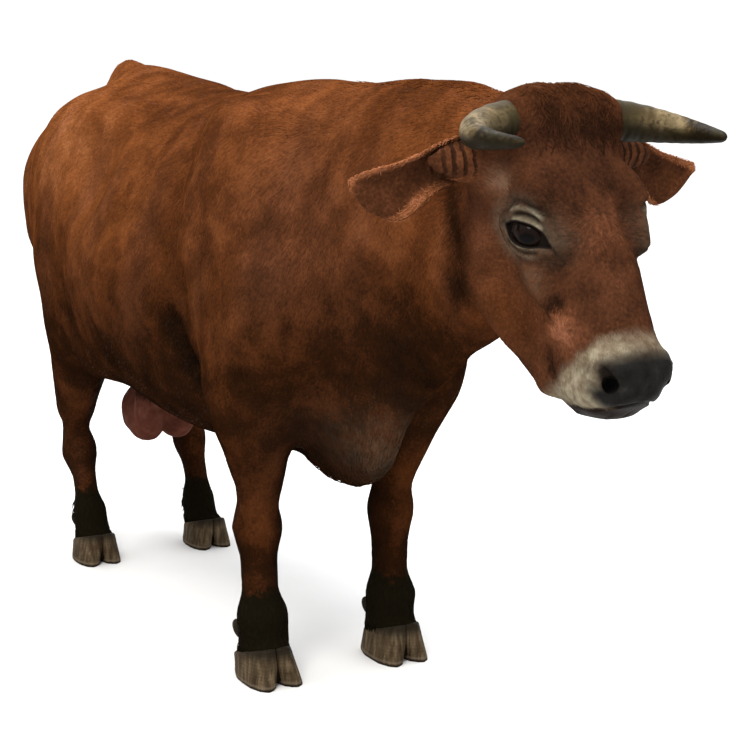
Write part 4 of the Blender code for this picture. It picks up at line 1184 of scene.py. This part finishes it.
def markings(points):
    """How bright, black-legged, pale, shaded, slick and pink the cow is at each place, in its own frame; the
    brightness holds painted shade and painted highlights as well as the coat's own colour.
    """
    seen = facing(points)
    x, y, z = seen.T
    side, down, out = ((seen - POLL) @ HEAD_FRAME.T).T
    head = step(-1.22, -1.34, y)
    patchy = 0.045 * ripple(points, 0.42, 1.0) + 0.035 * ripple(points, 0.17, 2.0)

    tone = 0.19 + 0.41 * step(0.52, 1.04, z)
    for amount, place, reach in BODY_TONES:
        tone += amount * blob(seen, place, reach)
    tone -= 0.07 * step(0.72, 0.56, z) * step(-0.75, -0.55, y) * step(0.60, 0.35, y)
    # The fronts of the upper legs are lighter, partly their own colour and partly painted light.
    tone += 0.16 * step(0.72, 0.58, z) * blob(seen, (0.22, -0.57, 0.48), (0.16, 0.060, 0.18))
    tone += 0.10 * step(0.70, 0.56, z) * blob(seen, (0.24, 0.60, 0.46), (0.12, 0.07, 0.18))
    tone -= 0.13 * step(0.17, 0.12, x) * step(0.70, 0.55, z)
    tone -= 0.06 * step(0.42, 0.26, z)
    tone += 0.04 * step(0.46, 0.36, z)
    tone += 0.05 * step(0.74, 0.60, z)
    tone += patchy * (1 - 0.5 * head)
    # Painted shade in the creases and a painted highlight on the edge of the arm.
    for name, amount, reach in CREASE_SHADE_AND_LIGHT:
        tone += amount * near(seen, BODY_STROKES[name][0], reach)
    swept = np.stack([points[:, 0], points[:, 1] + 0.45 * z, 0.22 * z], 1)  # the streaks lean back as they go down
    streaks = 0.6 * ripple(swept, 0.085, 11.0) + 0.4 * ripple(swept, 0.045, 12.0)
    tone += 0.055 * streaks * step(0.45, 0.70, z) * (1 - head)
    # The fronts of the lower legs are lighter, partly their own colour and partly painted light.
    tone += 0.13 * step(0.56, 0.42, z) * step(0.10, 0.16, x) * step(0.02, -0.05, y - np.where(y < 0, -0.52, 0.62))
    rose = 0.16 + 0.35 * np.clip(ripple(swept, 0.19, 13.0), 0, 1) + 1.2 * patchy
    rose += 0.5 * blob(seen, (0.20, -0.80, 1.05), (0.14, 0.20, 0.22))

    at = np.stack([side, down, out], 1)
    jaw = step(0.30, 0.42, down)
    face = 0.475 - 0.06 * step(0.02, -0.20, out) * jaw - 0.10 * step(-0.20, -0.26, out) * jaw
    for amount, place, reach in FACE_TONES:
        face += amount * blob(at, place, reach)
    # Painted shade along the hollows and creases of the face.
    for amount, path, reach in FACE_CREASE_SHADE:
        face += amount * stroke(seen, path, reach)
    face += 0.05 * ripple(points * (1.0, 1.0, 0.4), 0.05, 15.0) * step(0.30, 0.20, down)
    below = down - WHORL_DOWN
    rays = np.sin(11 * np.arctan2(below, side) + 2.0 * np.sin(60 * down))
    rays *= blob(at, (0.0, WHORL_DOWN, 0.015), (0.070, 0.075, 0.05))
    face += 0.085 * rays * step(0.004, 0.018, np.hypot(side, below))
    sideways = 0.871 * x + 0.491 * y  # square to the line that runs from behind the ear past the cheek
    # Painted shadow: a dark band behind the jaw, from under the ear down past the back of the cheek.
    behind = step(1.20, 1.16, z) * step(0.90, 0.98, z) * step(-1.40, -1.35, y) * step(-1.02, -1.12, y)
    tone += (face - tone) * head
    tone -= 0.33 * behind * np.exp(-(((sideways + 0.512 - 0.06 * (z - 1.05)) / 0.017) ** 2))
    lower_cheek = blob(seen, on_head(0.10, 0.34, -0.20), 0.10)
    rose += head * (0.92 - 0.55 * lower_cheek - 0.4 * step(0.10, 0.02, down) - rose)

    along, height, rim_above, rim_below = on_ear(seen)
    ear = step(0.135, 0.170, x) * step(-1.20, -1.24, y) * step(1.02, 1.05, z)
    rim = step(0.010, 0.002, rim_above - height) + step(0.010, 0.002, height - rim_below) + step(0.93, 1.0, along)
    inside = step(0.2, 0.9, 1 - np.clip(rim, 0, 1))
    # The ear is lighter at its rim, partly pale rim hair and partly painted rim light, and darker high inside its cup
    # with painted shade.
    leaf = 0.47 + (0.18 + 0.18 * step(0.20, 0.26, x)) * np.clip(rim, 0, 1) - 0.14 * inside * step(0.0, 0.03, height)
    tone += ear * (leaf - tone)
    tone += 0.05 * ear * inside * ripple(points, 0.06, 9.0)
    rose += ear * (0.45 + 0.30 * inside - rose)
    creased = step(0.138, 0.156, x) * step(0.228, 0.208, x) * step(-1.394, -1.378, y) * step(-1.290, -1.304, y)
    creased *= step(1.164, 1.192, z) * step(1.256, 1.236, z)
    ear_fold = (sideways + 0.4872 + 0.12 * (1.232 - z) + 0.005 * (1 - ((z - 1.205) / 0.035) ** 2)) / 0.0183
    neck_fold = (sideways + 0.4770) / 0.0115
    on_neck = np.exp(-(((sideways + 0.482) / 0.013) ** 2))
    on_neck *= step(1.165, 1.13, z) * step(0.93, 1.0, z) * step(-1.33, -1.31, y)
    fold = np.where(creased > 0, ear_fold, neck_fold)
    folded = np.maximum(0.9 * creased, 0.42 * on_neck * (y < -1.02))
    tone += 0.10 * creased + 0.03 * on_neck * (y < -1.02)

    lower = np.where(y < 0, 0.195, 0.190) + 0.020 * ripple(points, 0.11, 3.0)
    dusk = step(lower + 0.065, lower - 0.035, z)

    edge = 0.466 + 0.16 * np.maximum(0, -0.030 - out) + 0.005 * ripple(points, 0.05)
    lips = np.interp(out, (-0.180, -0.146, -0.100, -0.060, -0.020), (0.512, 0.533, 0.553, 0.571, 0.577))
    muzzle = step(edge - 0.014, edge + 0.022, down) * head
    pale = 0.80 * muzzle * step(0.004, -0.002, down - lips) * (1 - 0.4 * step(0.02, -0.02, side - 0.03))
    for amount, place, reach in (
        (0.10, on_head(0.110, 0.322, -0.083), 0.030),
        (0.26, on_head(0.125, 0.152, -0.067), 0.022),
        (0.09, (0.0, -0.82, 0.57), (0.20, 0.14, 0.09)),
    ):
        pale = np.maximum(pale, amount * blob(seen, place, reach))

    eye = in_eye_frame(points)
    close = np.linalg.norm(seen - EYE_MIDDLE, axis=1) < 0.11
    around = np.full(len(points), 1.0)
    around[close] = outside_lids(eye[close])
    flat = eye * (1, 1, 0)
    folds = {name: near(flat, [(*place, 0.0) for place in path], width * 1.15) * close
             for name, (path, width, _) in LID_FOLDS.items()}  # fmt: skip
    lids = folds["upper rim"] * 0.66 + folds["second fold"] * 0.60
    lids += folds["lower rim"] * 0.40 + folds["lower fold"] * 0.22
    ring = 0.16 * np.exp(-(((around - 0.034) / 0.012) ** 2)) * step(0.02, -0.03, eye[:, 0])
    pale = np.maximum(pale, np.maximum(lids, ring))
    shade = 0.90 * folds["crease of the lid"] + 0.70 * folds["outer crease"] + 0.60 * folds["lower crease"]
    shade += 0.35 * folds["bag"] + 0.8 * folds["tear line"] + 0.6 * folds["outer corner"]
    shade = np.maximum(shade, step(0.0034, 0.0012, around))
    tone -= 0.20 * np.exp(-((around / 0.030) ** 2))
    pale = np.maximum(pale, 0.13 * np.exp(-((around / 0.026) ** 2)))

    shade = np.maximum(shade, 0.85 * stroke(seen, MOUTH, 0.0042))
    hole = stroke(seen, [(0.0700, 0.508, -0.014), (0.0660, 0.530, -0.014), (0.0500, 0.545, -0.018)], 0.0135)
    shade = np.maximum(shade, np.clip(1.3 * hole, 0, 0.90))
    wing = [(0.078, 0.498, -0.020), (0.076, 0.520, -0.018), (0.064, 0.548, -0.018), (0.044, 0.562, -0.010)]
    shade = np.maximum(shade, 0.62 * stroke(seen, wing, 0.015))
    shade = np.maximum(shade, 0.86 * head * step(-0.001, 0.008, down - lips) * step(0.45, 0.49, down))
    shade = np.maximum(shade, 0.90 * near(seen, EAR_FOLD, 0.0060))
    shade = np.maximum(shade, 0.45 * ear * blob(seen, (0.205, -1.335, 1.175), (0.045, 0.04, 0.026)))

    pad = step(0.478, 0.522, down + 0.10 * np.maximum(side - 0.045, 0))
    pad *= step(-0.084, -0.046, out) * step(0.084, 0.068, side)
    lip = 0.85 * step(-0.003, 0.004, down - lips) * step(-0.185, -0.130, out) * step(0.45, 0.49, down)
    slick = np.maximum(pad, lip) * head
    slick = np.maximum(slick, 0.95 * step(0.0040, 0.0018, around))
    low, high = (own(corner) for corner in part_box("udder"))
    bag = np.linalg.norm((points - (low + high) / 2) / ((high - low) / 2), axis=1)
    pink = step(1.75, 1.40, bag) * step(0.56, 0.50, z)
    pink = np.maximum(pink, step(0.42, 0.40, z) * step(0.10, 0.09, x) * step(0.36, 0.38, y) * step(0.62, 0.60, y))
    values = [np.clip(v, 0, 1) for v in (tone, rose, dusk, pale, shade, slick, pink)]
    return dict(zip(KINDS, values + [fold, np.clip(folded, 0, 1)]))


def paint(mesh, values):
    for kind, amounts in values.items():
        set_values(mesh, kind, amounts)


# ---------------------------------------------------------------- the lie of the hair
# A place on the left side, the way the hair lies there, and how far that holds.
HAIR_GUIDES = [
    ((0.00, -1.15, 1.35), (0.00, 1.00, -0.05), 0.14),  # crest
    ((0.00, -0.60, 1.34), (0.00, 1.00, -0.05), 0.20),  # withers
    ((0.00, 0.00, 1.30), (0.05, 1.00, -0.05), 0.26),  # back
    ((0.00, 0.50, 1.33), (0.10, 1.00, -0.10), 0.20),  # croup
    ((0.12, -1.02, 1.08), (0.00, 0.75, -0.65), 0.18),  # side of the neck
    ((0.05, -1.05, 0.82), (0.00, 0.50, -0.85), 0.18),  # throat
    ((0.25, -0.60, 1.02), (0.10, 0.40, -0.92), 0.20),  # shoulder
    ((0.10, -0.84, 0.78), (0.20, 0.20, -0.95), 0.20),  # front of the chest
    ((0.20, -0.52, 0.60), (0.00, 0.12, -1.00), 0.16),  # forearm
    ((0.30, -0.28, 0.72), (0.00, 0.60, -0.80), 0.16),  # girth
    ((0.34, 0.00, 0.95), (0.00, 0.62, -0.78), 0.24),  # ribs
    ((0.10, 0.00, 0.52), (0.00, 1.00, 0.00), 0.20),  # belly
    ((0.30, 0.26, 0.92), (0.00, 0.20, -1.00), 0.13),  # flank
    ((0.24, 0.30, 1.20), (0.00, 0.80, -0.60), 0.14),  # hook of the hip
    ((0.16, 0.66, 1.24), (0.25, 0.80, -0.50), 0.18),  # rump
    ((0.26, 0.52, 0.88), (0.00, 0.28, -0.96), 0.20),  # thigh
    ((0.12, 0.86, 0.95), (-0.10, 0.15, -1.00), 0.16),  # buttock
    ((0.20, -0.52, 0.25), (0.00, 0.08, -1.00), 0.26),  # fore leg
    ((0.20, 0.68, 0.30), (0.00, 0.10, -1.00), 0.26),  # hind leg
]


def unit(vectors):
    return vectors / np.maximum(np.linalg.norm(vectors, axis=1), 1e-9)[:, None]


def lie_of_hair(points, normals):
    """The way the coat lies at each place, along the skin, with a little wander."""
    seen = facing(points)
    way = np.zeros_like(points)
    for place, direction, reach in HAIR_GUIDES:
        away = np.linalg.norm(seen - place, axis=1) / reach
        way += (np.exp(-(away**2)) + 1e-5 / (1 + away**4))[:, None] * np.array(direction)
    way = unit(way)
    head = step(-1.21, -1.32, seen[:, 1])[:, None]
    way += head * (unit(seen - WHORL - (0, 0.05, 0)) - way)
    ear = step(0.135, 0.165, seen[:, 0])[:, None] * head
    way += ear * (unit((EAR_TIP - EAR_ROOT)[None]) - way)
    way[:, 0] *= np.where(points[:, 0] < 0, -1, 1)
    tail = (step(0.055, 0.045, seen[:, 0]) * step(0.86, 0.90, seen[:, 1]))[:, None]
    way += tail * (np.array((0, 0.06, -1)) - way)
    way -= normals * (way * normals).sum(1)[:, None]
    way = unit(way)
    turn = rng.normal(0, 0.17, len(points)) + 0.24 * ripple(points, 0.10, 5.0)
    return unit(way * np.cos(turn)[:, None] + np.cross(normals, way) * np.sin(turn)[:, None])


# ---------------------------------------------------------------- hair as mesh
def strand_mesh(name, root, rings, tip, values, spots, outs):
    """Closed strands joined in one mesh: a root point, rings of left, ridge and right, and a tip.

    Each is shaded much as the skin under it is, so that the coat lies soft and close.
    """
    count, steps = rings.shape[:2]
    places = np.concatenate([root[:, None], rings.reshape(count, steps * 3, 3), tip[:, None]], 1)
    size = steps * 3 + 2
    faces = []
    for a, b in ((0, 1), (1, 2), (2, 0)):
        faces.append((0, b + 1, a + 1))
        for j in range(steps - 1):
            low, high = 3 * j + 1, 3 * j + 4
            faces += [(low + a, low + b, high + b), (low + a, high + b, high + a)]
        faces.append((size - 1, 3 * steps - 2 + a, 3 * steps - 2 + b))
    corners = (np.arange(count)[:, None, None] * size + np.array(faces)[None]).reshape(-1)
    mesh = bpy.data.meshes.new(name)
    mesh.vertices.add(count * size)
    mesh.vertices.foreach_set("co", np.ascontiguousarray(packed(places), np.float32).ravel())
    mesh.loops.add(len(corners))
    mesh.loops.foreach_set("vertex_index", corners.astype(np.int32))
    mesh.polygons.add(len(corners) // 3)
    mesh.polygons.foreach_set("loop_start", np.arange(0, len(corners), 3, dtype=np.int32))
    mesh.update(calc_edges=True)
    for kind, amounts in values.items():
        set_values(mesh, kind, np.repeat(amounts, size))
    patch = np.full((size, 2), 0.0)
    patch[0], patch[-1] = (0, -0.0015), (0, 0.0015)
    for j in range(steps):
        y = -0.0011 + 0.0022 * (j + 0.5) / steps
        patch[3 * j + 1 : 3 * j + 4] = (-0.0015, y), (0, y), (0.0015, y)
    uv = np.clip(spots[:, None] + patch[None], 0, 1).reshape(-1, 2)
    layer = mesh.uv_layers.new(name="OFBake")
    layer.data.foreach_set("uv", np.ascontiguousarray(uv[corners], np.float32).ravel())
    mesh.shade_smooth()
    across = unit(rings[:, 0, 0] - rings[:, 0, 2])
    leaning = np.repeat(outs[:, None], size, 1)
    leaning[:, 1:-1:3] += 0.35 * across[:, None]
    leaning[:, 3:-1:3] -= 0.35 * across[:, None]
    mesh.normals_split_custom_set_from_vertices(unit(leaning.reshape(-1, 3)).tolist())
    made = bpy.data.objects.new(name, mesh)
    bpy.context.scene.collection.objects.link(made)
    return made


class Hide:
    """The finished skin as the coat needs it: places to root hair, what is painted there, and the way back to it."""

    def __init__(self, skin):
        mesh = skin.data
        mesh.calc_loop_triangles()
        count = len(mesh.loop_triangles)
        corners, loops = np.empty(count * 3, np.int32), np.empty(count * 3, np.int32)
        mesh.loop_triangles.foreach_get("vertices", corners)
        mesh.loop_triangles.foreach_get("loops", loops)
        self.corners, self.loops = corners.reshape(-1, 3), loops.reshape(-1, 3)
        self.points, self.normals = own(points_of(mesh)), normals_of(mesh)
        uv = np.empty(len(mesh.loops) * 2)
        mesh.uv_layers["OFBake"].data.foreach_get("uv", uv)
        self.uv = uv.reshape(-1, 2)
        self.paint = {}
        for kind in KINDS:
            values = np.empty(len(mesh.vertices))
            mesh.attributes[kind].data.foreach_get("value", values)
            self.paint[kind] = values
        a, b, c = (self.points[self.corners[:, i]] for i in range(3))
        self.areas = np.linalg.norm(np.cross(b - a, c - a), axis=1) / 2
        self.middles = (a + b + c) / 3
        self.tree = BVHTree.FromPolygons(self.points.tolist(), self.corners.tolist())

    def over_triangles(self, kind):
        return self.paint[kind][self.corners].mean(1)

    def rooted(self, per_area):
        """Roots spread over the skin by number per square metre, with normals, paint and places on the unwrap."""
        total = np.cumsum(per_area * self.areas)
        count = int(total[-1])
        picks = np.searchsorted(total, (np.arange(count) + rng.random(count)) * total[-1] / count)
        picks = np.minimum(picks, len(total) - 1)
        u, v = rng.random(count), rng.random(count)
        over = u + v > 1
        u[over], v[over] = 1 - u[over], 1 - v[over]
        share = np.stack([1 - u - v, u, v], 1)
        corners, loops = self.corners[picks], self.loops[picks]

        def mixed(values, index):
            return (values[index] * share[:, :, None]).sum(1)

        paint = {kind: (self.paint[kind][corners] * share).sum(1) for kind in KINDS[:5]}
        return mixed(self.points, corners), unit(mixed(self.normals, corners)), paint, mixed(self.uv, loops)

    def onto(self, points):
        """The nearest places on the skin, and the way out from them."""
        found = [self.tree.find_nearest(point)[:2] for point in points.tolist()]
        return np.array([place for place, _ in found]), np.array([normal for _, normal in found])


def coat_plan(points):
    """Tufts per square metre, their length, width and how far their tips stand off."""
    seen = facing(points)
    head = step(-1.20, -1.30, seen[:, 1])
    muzzle = step(0.36, 0.46, (points - POLL) @ FACE_DOWN) * head
    face = head * step(0.35, 0.05, np.linalg.norm(seen - EYE_MIDDLE, axis=1) / 0.30)
    leg = step(0.62, 0.50, seen[:, 2]) * step(0.05, 0.10, seen[:, 0])
    foot = step(0.34, 0.26, seen[:, 2])
    ear = step(0.135, 0.165, seen[:, 0]) * head
    plan = np.tile((29000.0, 0.034, 0.0037, 0.0008), (len(points), 1))
    for share, wanted in (
        (leg, (42000, 0.022, 0.0030, 0.0008)),
        (foot, (52000, 0.014, 0.0025, 0.0008)),
        (head, (60000, 0.015, 0.0023, 0.0006)),
        (face, (72000, 0.010, 0.0016, 0.0003)),
        (muzzle, (70000, 0.007, 0.0015, 0.0003)),
        (ear, (34000, 0.008, 0.0013, 0.0002)),
    ):
        plan += share[:, None] * (np.array(wanted) - plan)
    return plan.T


COAT_PIECES = {
    "head": lambda p: p[:, 1] < -1.20,
    "neck": lambda p: (p[:, 1] < -0.66) & (p[:, 2] > 0.5),
    "shoulder": lambda p: (p[:, 1] < -0.18) & (p[:, 2] > 0.5),
    "ribs": lambda p: (p[:, 1] < 0.24) & (p[:, 2] > 0.5),
    "rump": lambda p: p[:, 2] > 0.5,
    "legs": lambda p: p[:, 2] > -1,
}


def build_coat(hide, hair_stuff):
    """Short tufts everywhere but on the nose, lips, lids, udder and claws."""
    middles = hide.middles
    per_area, _, _, _ = coat_plan(middles)
    bare = np.maximum(hide.over_triangles("slick"), hide.over_triangles("pink"))
    per_area = per_area * step(0.5, 0.1, bare) * step(0.055, 0.066, middles[:, 2])
    eye = np.linalg.norm(facing(middles) - EYE_MIDDLE, axis=1) < 0.09
    place = in_eye_frame(middles[eye])
    start = np.where(place[:, 1] > 0, 0.027, 0.009)
    per_area[eye] *= step(start - 0.005, start + 0.005, outside_lids(place))
    per_area *= step(0.9, 0.6, hide.over_triangles("shade")) * step(0.65, 0.45, hide.over_triangles("folded"))
    per_area *= 1 - blob(middles, (0.0, 0.478, 0.455), (0.15, 0.19, 0.16)) ** 0.25 * step(0.56, 0.54, middles[:, 2])
    roots, normals, paint, spots = hide.rooted(per_area)
    _, lengths, widths, rise = coat_plan(roots)
    lengths = lengths * rng.uniform(0.75, 1.25, len(roots))
    widths = widths * rng.uniform(0.75, 1.2, len(roots))
    way = lie_of_hair(roots, normals)
    middle, out = hide.onto(roots + way * (0.38 * lengths)[:, None])
    end, end_out = hide.onto(roots + way * lengths[:, None])
    middle = middle + out * 0.0004
    side = np.cross(out, way) * (widths / 2)[:, None]
    rings = np.stack([middle + side, middle + out * (0.12 * widths + 0.2 * rise)[:, None], middle - side], 1)[:, None]
    tips = end + end_out * (rise * rng.uniform(0.55, 1.1, len(roots)))[:, None]
    calm = (1 - 0.65 * step(-1.20, -1.30, roots[:, 1])) * (1 - 0.5 * step(0.70, 0.50, roots[:, 2]))
    clump = calm * (0.026 * ripple(roots, 0.035, 7.0) + rng.normal(0, 0.020, len(roots)))
    paint["tone"] = np.clip(paint["tone"] + clump, 0.02, 1)
    paint["pale"] = np.clip(paint["pale"] * rng.uniform(0.8, 1.15, len(roots)), 0, 1)
    left = np.ones(len(roots), bool)
    for name, belongs in COAT_PIECES.items():
        here = left & belongs(roots)
        left &= ~here
        for word, half in (("left", roots[:, 0] > 0), ("right", roots[:, 0] <= 0)):
            keep = here & half
            made = strand_mesh(
                f"coat_{name}_{word}", roots[keep] - normals[keep] * 0.0008, rings[keep], tips[keep],
                {kind: values[keep] for kind, values in paint.items()}, spots[keep], unit(normals + out)[keep],
            )  # fmt: skip
            dressed(made, hair_stuff)


def dressed(piece, stuff):
    piece.data.materials.append(stuff)
    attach(piece, "root")


# ---------------------------------------------------------------- longer hair
def swept_strands(name, paths, widths, outs, values, spots, thick=0.5):
    """Strands along paths of (strand, step, 3); the first and last step are the ends."""
    ahead = paths[:, 2:] - paths[:, :-2]
    side = np.cross(outs[:, 1:-1], ahead)
    side /= np.maximum(np.linalg.norm(side, axis=2), 1e-9)[:, :, None]
    ridge = np.cross(ahead, side)
    ridge /= np.maximum(np.linalg.norm(ridge, axis=2), 1e-9)[:, :, None]
    half = widths[:, 1:-1, None] / 2
    inner = paths[:, 1:-1]
    rings = np.stack([inner + side * half, inner + ridge * half * 2 * thick, inner - side * half], 2)
    return strand_mesh(name, paths[:, 0], rings, paths[:, -1], values, spots, unit(outs[:, 1]))


def locks(hide, name, chosen, per_area, length, width, lift, droop, stuff, steps=5, tone=0.0, way=None):
    """Longer locks from a chosen region: they lie over the skin, lift off it by a share and droop."""
    roots, normals, paint, spots = hide.rooted(per_area * chosen(hide.middles))
    count = len(roots)
    if way is None:
        ways = lie_of_hair(roots, normals)
    else:
        ways = way(roots) + rng.normal(0, 0.16, (count, 3))
        ways = unit(ways - normals * (ways * normals).sum(1)[:, None])
    lengths = length * rng.uniform(0.7, 1.25, count)
    curl = rng.normal(0, 0.12, count)
    stations, outs = [roots - normals * 0.001], [normals]
    place, heading, out = roots, ways, normals
    for j in range(steps + 1):
        t = (j + 1) / (steps + 1)
        heading = unit(heading + np.cross(out, heading) * curl[:, None])
        place, out = hide.onto(place + heading * (lengths / (steps + 1))[:, None])
        heading = unit(heading - out * (heading * out).sum(1)[:, None])
        sag = np.array((0, 0, -1.0)) * droop * length * t**2
        stations.append(place + out * (0.0012 + lift * length * t**1.3) + sag)
        outs.append(out)
    paths, outs = np.stack(stations, 1), np.stack(outs, 1)
    taper = np.sin(np.linspace(0.25, 1.0, steps + 2) * math.pi) ** 0.6
    widths = width * rng.uniform(0.7, 1.2, count)[:, None] * taper
    paint["tone"] = np.clip(paint["tone"] + tone + rng.normal(0, 0.03, count), 0.02, 1)
    dressed(swept_strands(name, paths, widths, outs, paint, spots), stuff)


def near_ear_rim(points):
    seen = facing(points)
    _, height, above, below = on_ear(seen)
    rim = np.maximum(step(0.007, 0.002, above - height), step(0.007, 0.002, height - below))
    return rim * step(0.165, 0.185, seen[:, 0]) * (seen[:, 1] < -1.22)


def down_and_out(points):
    return np.stack([0.4 * np.sign(points[:, 0]), np.zeros(len(points)), -np.ones(len(points))], 1)


def build_long_hair(hide, hair_stuff):
    def crown(p):
        side, down, out = ((p - POLL) @ HEAD_FRAME.T).T
        top = step(0.092, 0.070, np.abs(side)) * step(0.128, 0.100, down)
        return top * step(-0.035, -0.010, out) * (p[:, 1] < -1.3)

    def forward(p):
        return np.stack([1.6 * p[:, 0] + 0.25 * ripple(p, 0.05), np.full(len(p), -1.0), np.full(len(p), -0.9)], 1)

    def keel(p):
        under = step(0.07, 0.03, np.abs(p[:, 0])) * step(0.66, 0.60, p[:, 2])
        return under * step(-0.95, -0.85, p[:, 1]) * step(0.18, 0.08, p[:, 1])

    def fetlock(p):
        seen = facing(p)
        back = np.where(seen[:, 1] < 0.1, seen[:, 1] + 0.46, seen[:, 1] - 0.64)
        return step(0.0, 0.02, back) * step(0.17, 0.145, seen[:, 2]) * step(0.075, 0.095, seen[:, 2])

    def coronet(p):
        from_cleft = np.abs(np.abs(p[:, 0]) - CLEFTS[(p[:, 1] > 0).astype(int)])
        return step(0.088, 0.078, p[:, 2]) * step(0.058, 0.066, p[:, 2]) * step(0.020, 0.030, from_cleft)

    def crest(p):
        ridge = step(0.035, 0.015, np.abs(p[:, 0])) * step(1.20, 1.26, p[:, 2])
        return ridge * (p[:, 1] > -1.33) * step(-0.62, -0.80, p[:, 1])

    def elbow(p):
        return blob(facing(p), (0.27, -0.41, 0.66), (0.05, 0.05, 0.06)) > 0.4

    def outwards(p):
        return (EAR_TIP - EAR_ROOT) * np.stack([np.sign(p[:, 0]), np.ones(len(p)), np.ones(len(p))], 1)

    locks(hide, "poll_hair", crown, 14000, 0.032, 0.0022, 0.022, 0.0, hair_stuff, 6, -0.01, forward)
    locks(hide, "brisket_hair", keel, 9000, 0.030, 0.0036, 0.07, 0.06, hair_stuff, 4)
    locks(
        hide, "fetlock_hair", fetlock, 26000, 0.026, 0.0032, 0.26, 0.15,
        hair_stuff, 4, 0.0, down_and_out,
    )  # fmt: skip
    locks(
        hide, "coronet_hair", coronet, 42000, 0.021, 0.0030, 0.16, 0.05,
        hair_stuff, 3, 0.0, down_and_out,
    )  # fmt: skip
    locks(hide, "crest_hair", crest, 14000, 0.030, 0.0030, 0.05, 0.0, hair_stuff, 4)
    locks(hide, "elbow_hair", elbow, 9000, 0.034, 0.0042, 0.16, 0.10, hair_stuff, 4)
    # The ear's rim hair is lighter, partly its own pale colour and partly painted rim light.
    locks(hide, "ear_rim_hair", near_ear_rim, 44000, 0.009, 0.0014, 0.10, 0.0, hair_stuff, 3, 0.22, outwards)


SWITCH_PATH = [(-0.045, 0.953, 0.740), (-0.058, 0.957, 0.640), (-0.066, 0.952, 0.540), (-0.062, 0.944, 0.432)]


def tail_switch(hide, stuff):
    """The long hair of the tail: locks that leave the dock one below the other, swell and run to a point."""
    count, steps = 420, 9
    spine = curve_through(SWITCH_PATH, 60)
    start = rng.random(count) ** 1.3 * 0.45
    end = np.clip(start + rng.uniform(0.42, 0.62, count), 0, 1)
    turn = rng.uniform(0, 2 * math.pi, count)
    far = np.sqrt(rng.random(count))
    t = np.linspace(0, 1, steps + 2)
    at = start[:, None] + (end - start)[:, None] * t
    place = np.stack([np.interp(at, np.linspace(0, 1, 60), spine[:, axis]) for axis in range(3)], 2)
    swell = 0.010 + 0.020 * np.sin(np.clip(at * 1.08, 0, 1) ** 0.8 * math.pi)
    angle = turn[:, None] + 0.5 * np.sin(3.2 * t + turn[:, None])
    spread = (0.35 + 0.65 * far)[:, None] * swell
    outs = np.stack([np.cos(angle), np.sin(angle), np.zeros_like(angle)], 2)
    paths = place + outs * spread[:, :, None]
    widths = rng.uniform(0.0030, 0.0056, count)[:, None] * np.sin(np.linspace(0.2, 1.0, steps + 2) * math.pi) ** 0.5
    paint = {"tone": rng.uniform(0.04, 0.26, count), "dusk": rng.uniform(0.0, 0.75, count)}
    paint |= {"pale": np.zeros(count), "shade": np.zeros(count)}
    spots = hide.uv[hide.loops[np.argmin(np.linalg.norm(hide.middles - SWITCH_PATH[0], axis=1)), 0]]
    made = swept_strands("tail_switch_hair", paths, widths, outs, paint, np.tile(spots, (count, 1)), 0.7)
    dressed(made, stuff)
    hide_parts("tail_switch")


def unwrap(skin):
    """An unwrap of the skin's own shape, which the hair's patches share."""
    bpy.context.view_layer.objects.active = skin
    skin.select_set(True)
    bpy.ops.object.mode_set(mode="EDIT")
    bpy.ops.mesh.select_all(action="SELECT")
    bpy.ops.uv.smart_project(angle_limit=math.radians(66), island_margin=0.001)
    bpy.ops.object.mode_set(mode="OBJECT")
    skin.data.uv_layers.active.name = "OFBake"


skin = build_skin()
open_eyes_and_nostrils(skin)
join_ears_and_teats(skin)
skin.data.materials.append(material("hide", hide_finish))
skin.data.shade_smooth()
paint(skin.data, markings(own(points_of(skin.data))))
unwrap(skin)
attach(skin, "root")
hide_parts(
    *[node for node in frame["nodes"] if not any(word in node for word in ("claw", "horn", "eye", "switch"))],
)
hide = Hide(skin)
hair_stuff = material("short hair", coat_finish)
build_coat(hide, hair_stuff)
build_long_hair(hide, hair_stuff)
tail_switch(hide, hair_stuff)
build_hard_pieces()
camera_view()
studio()
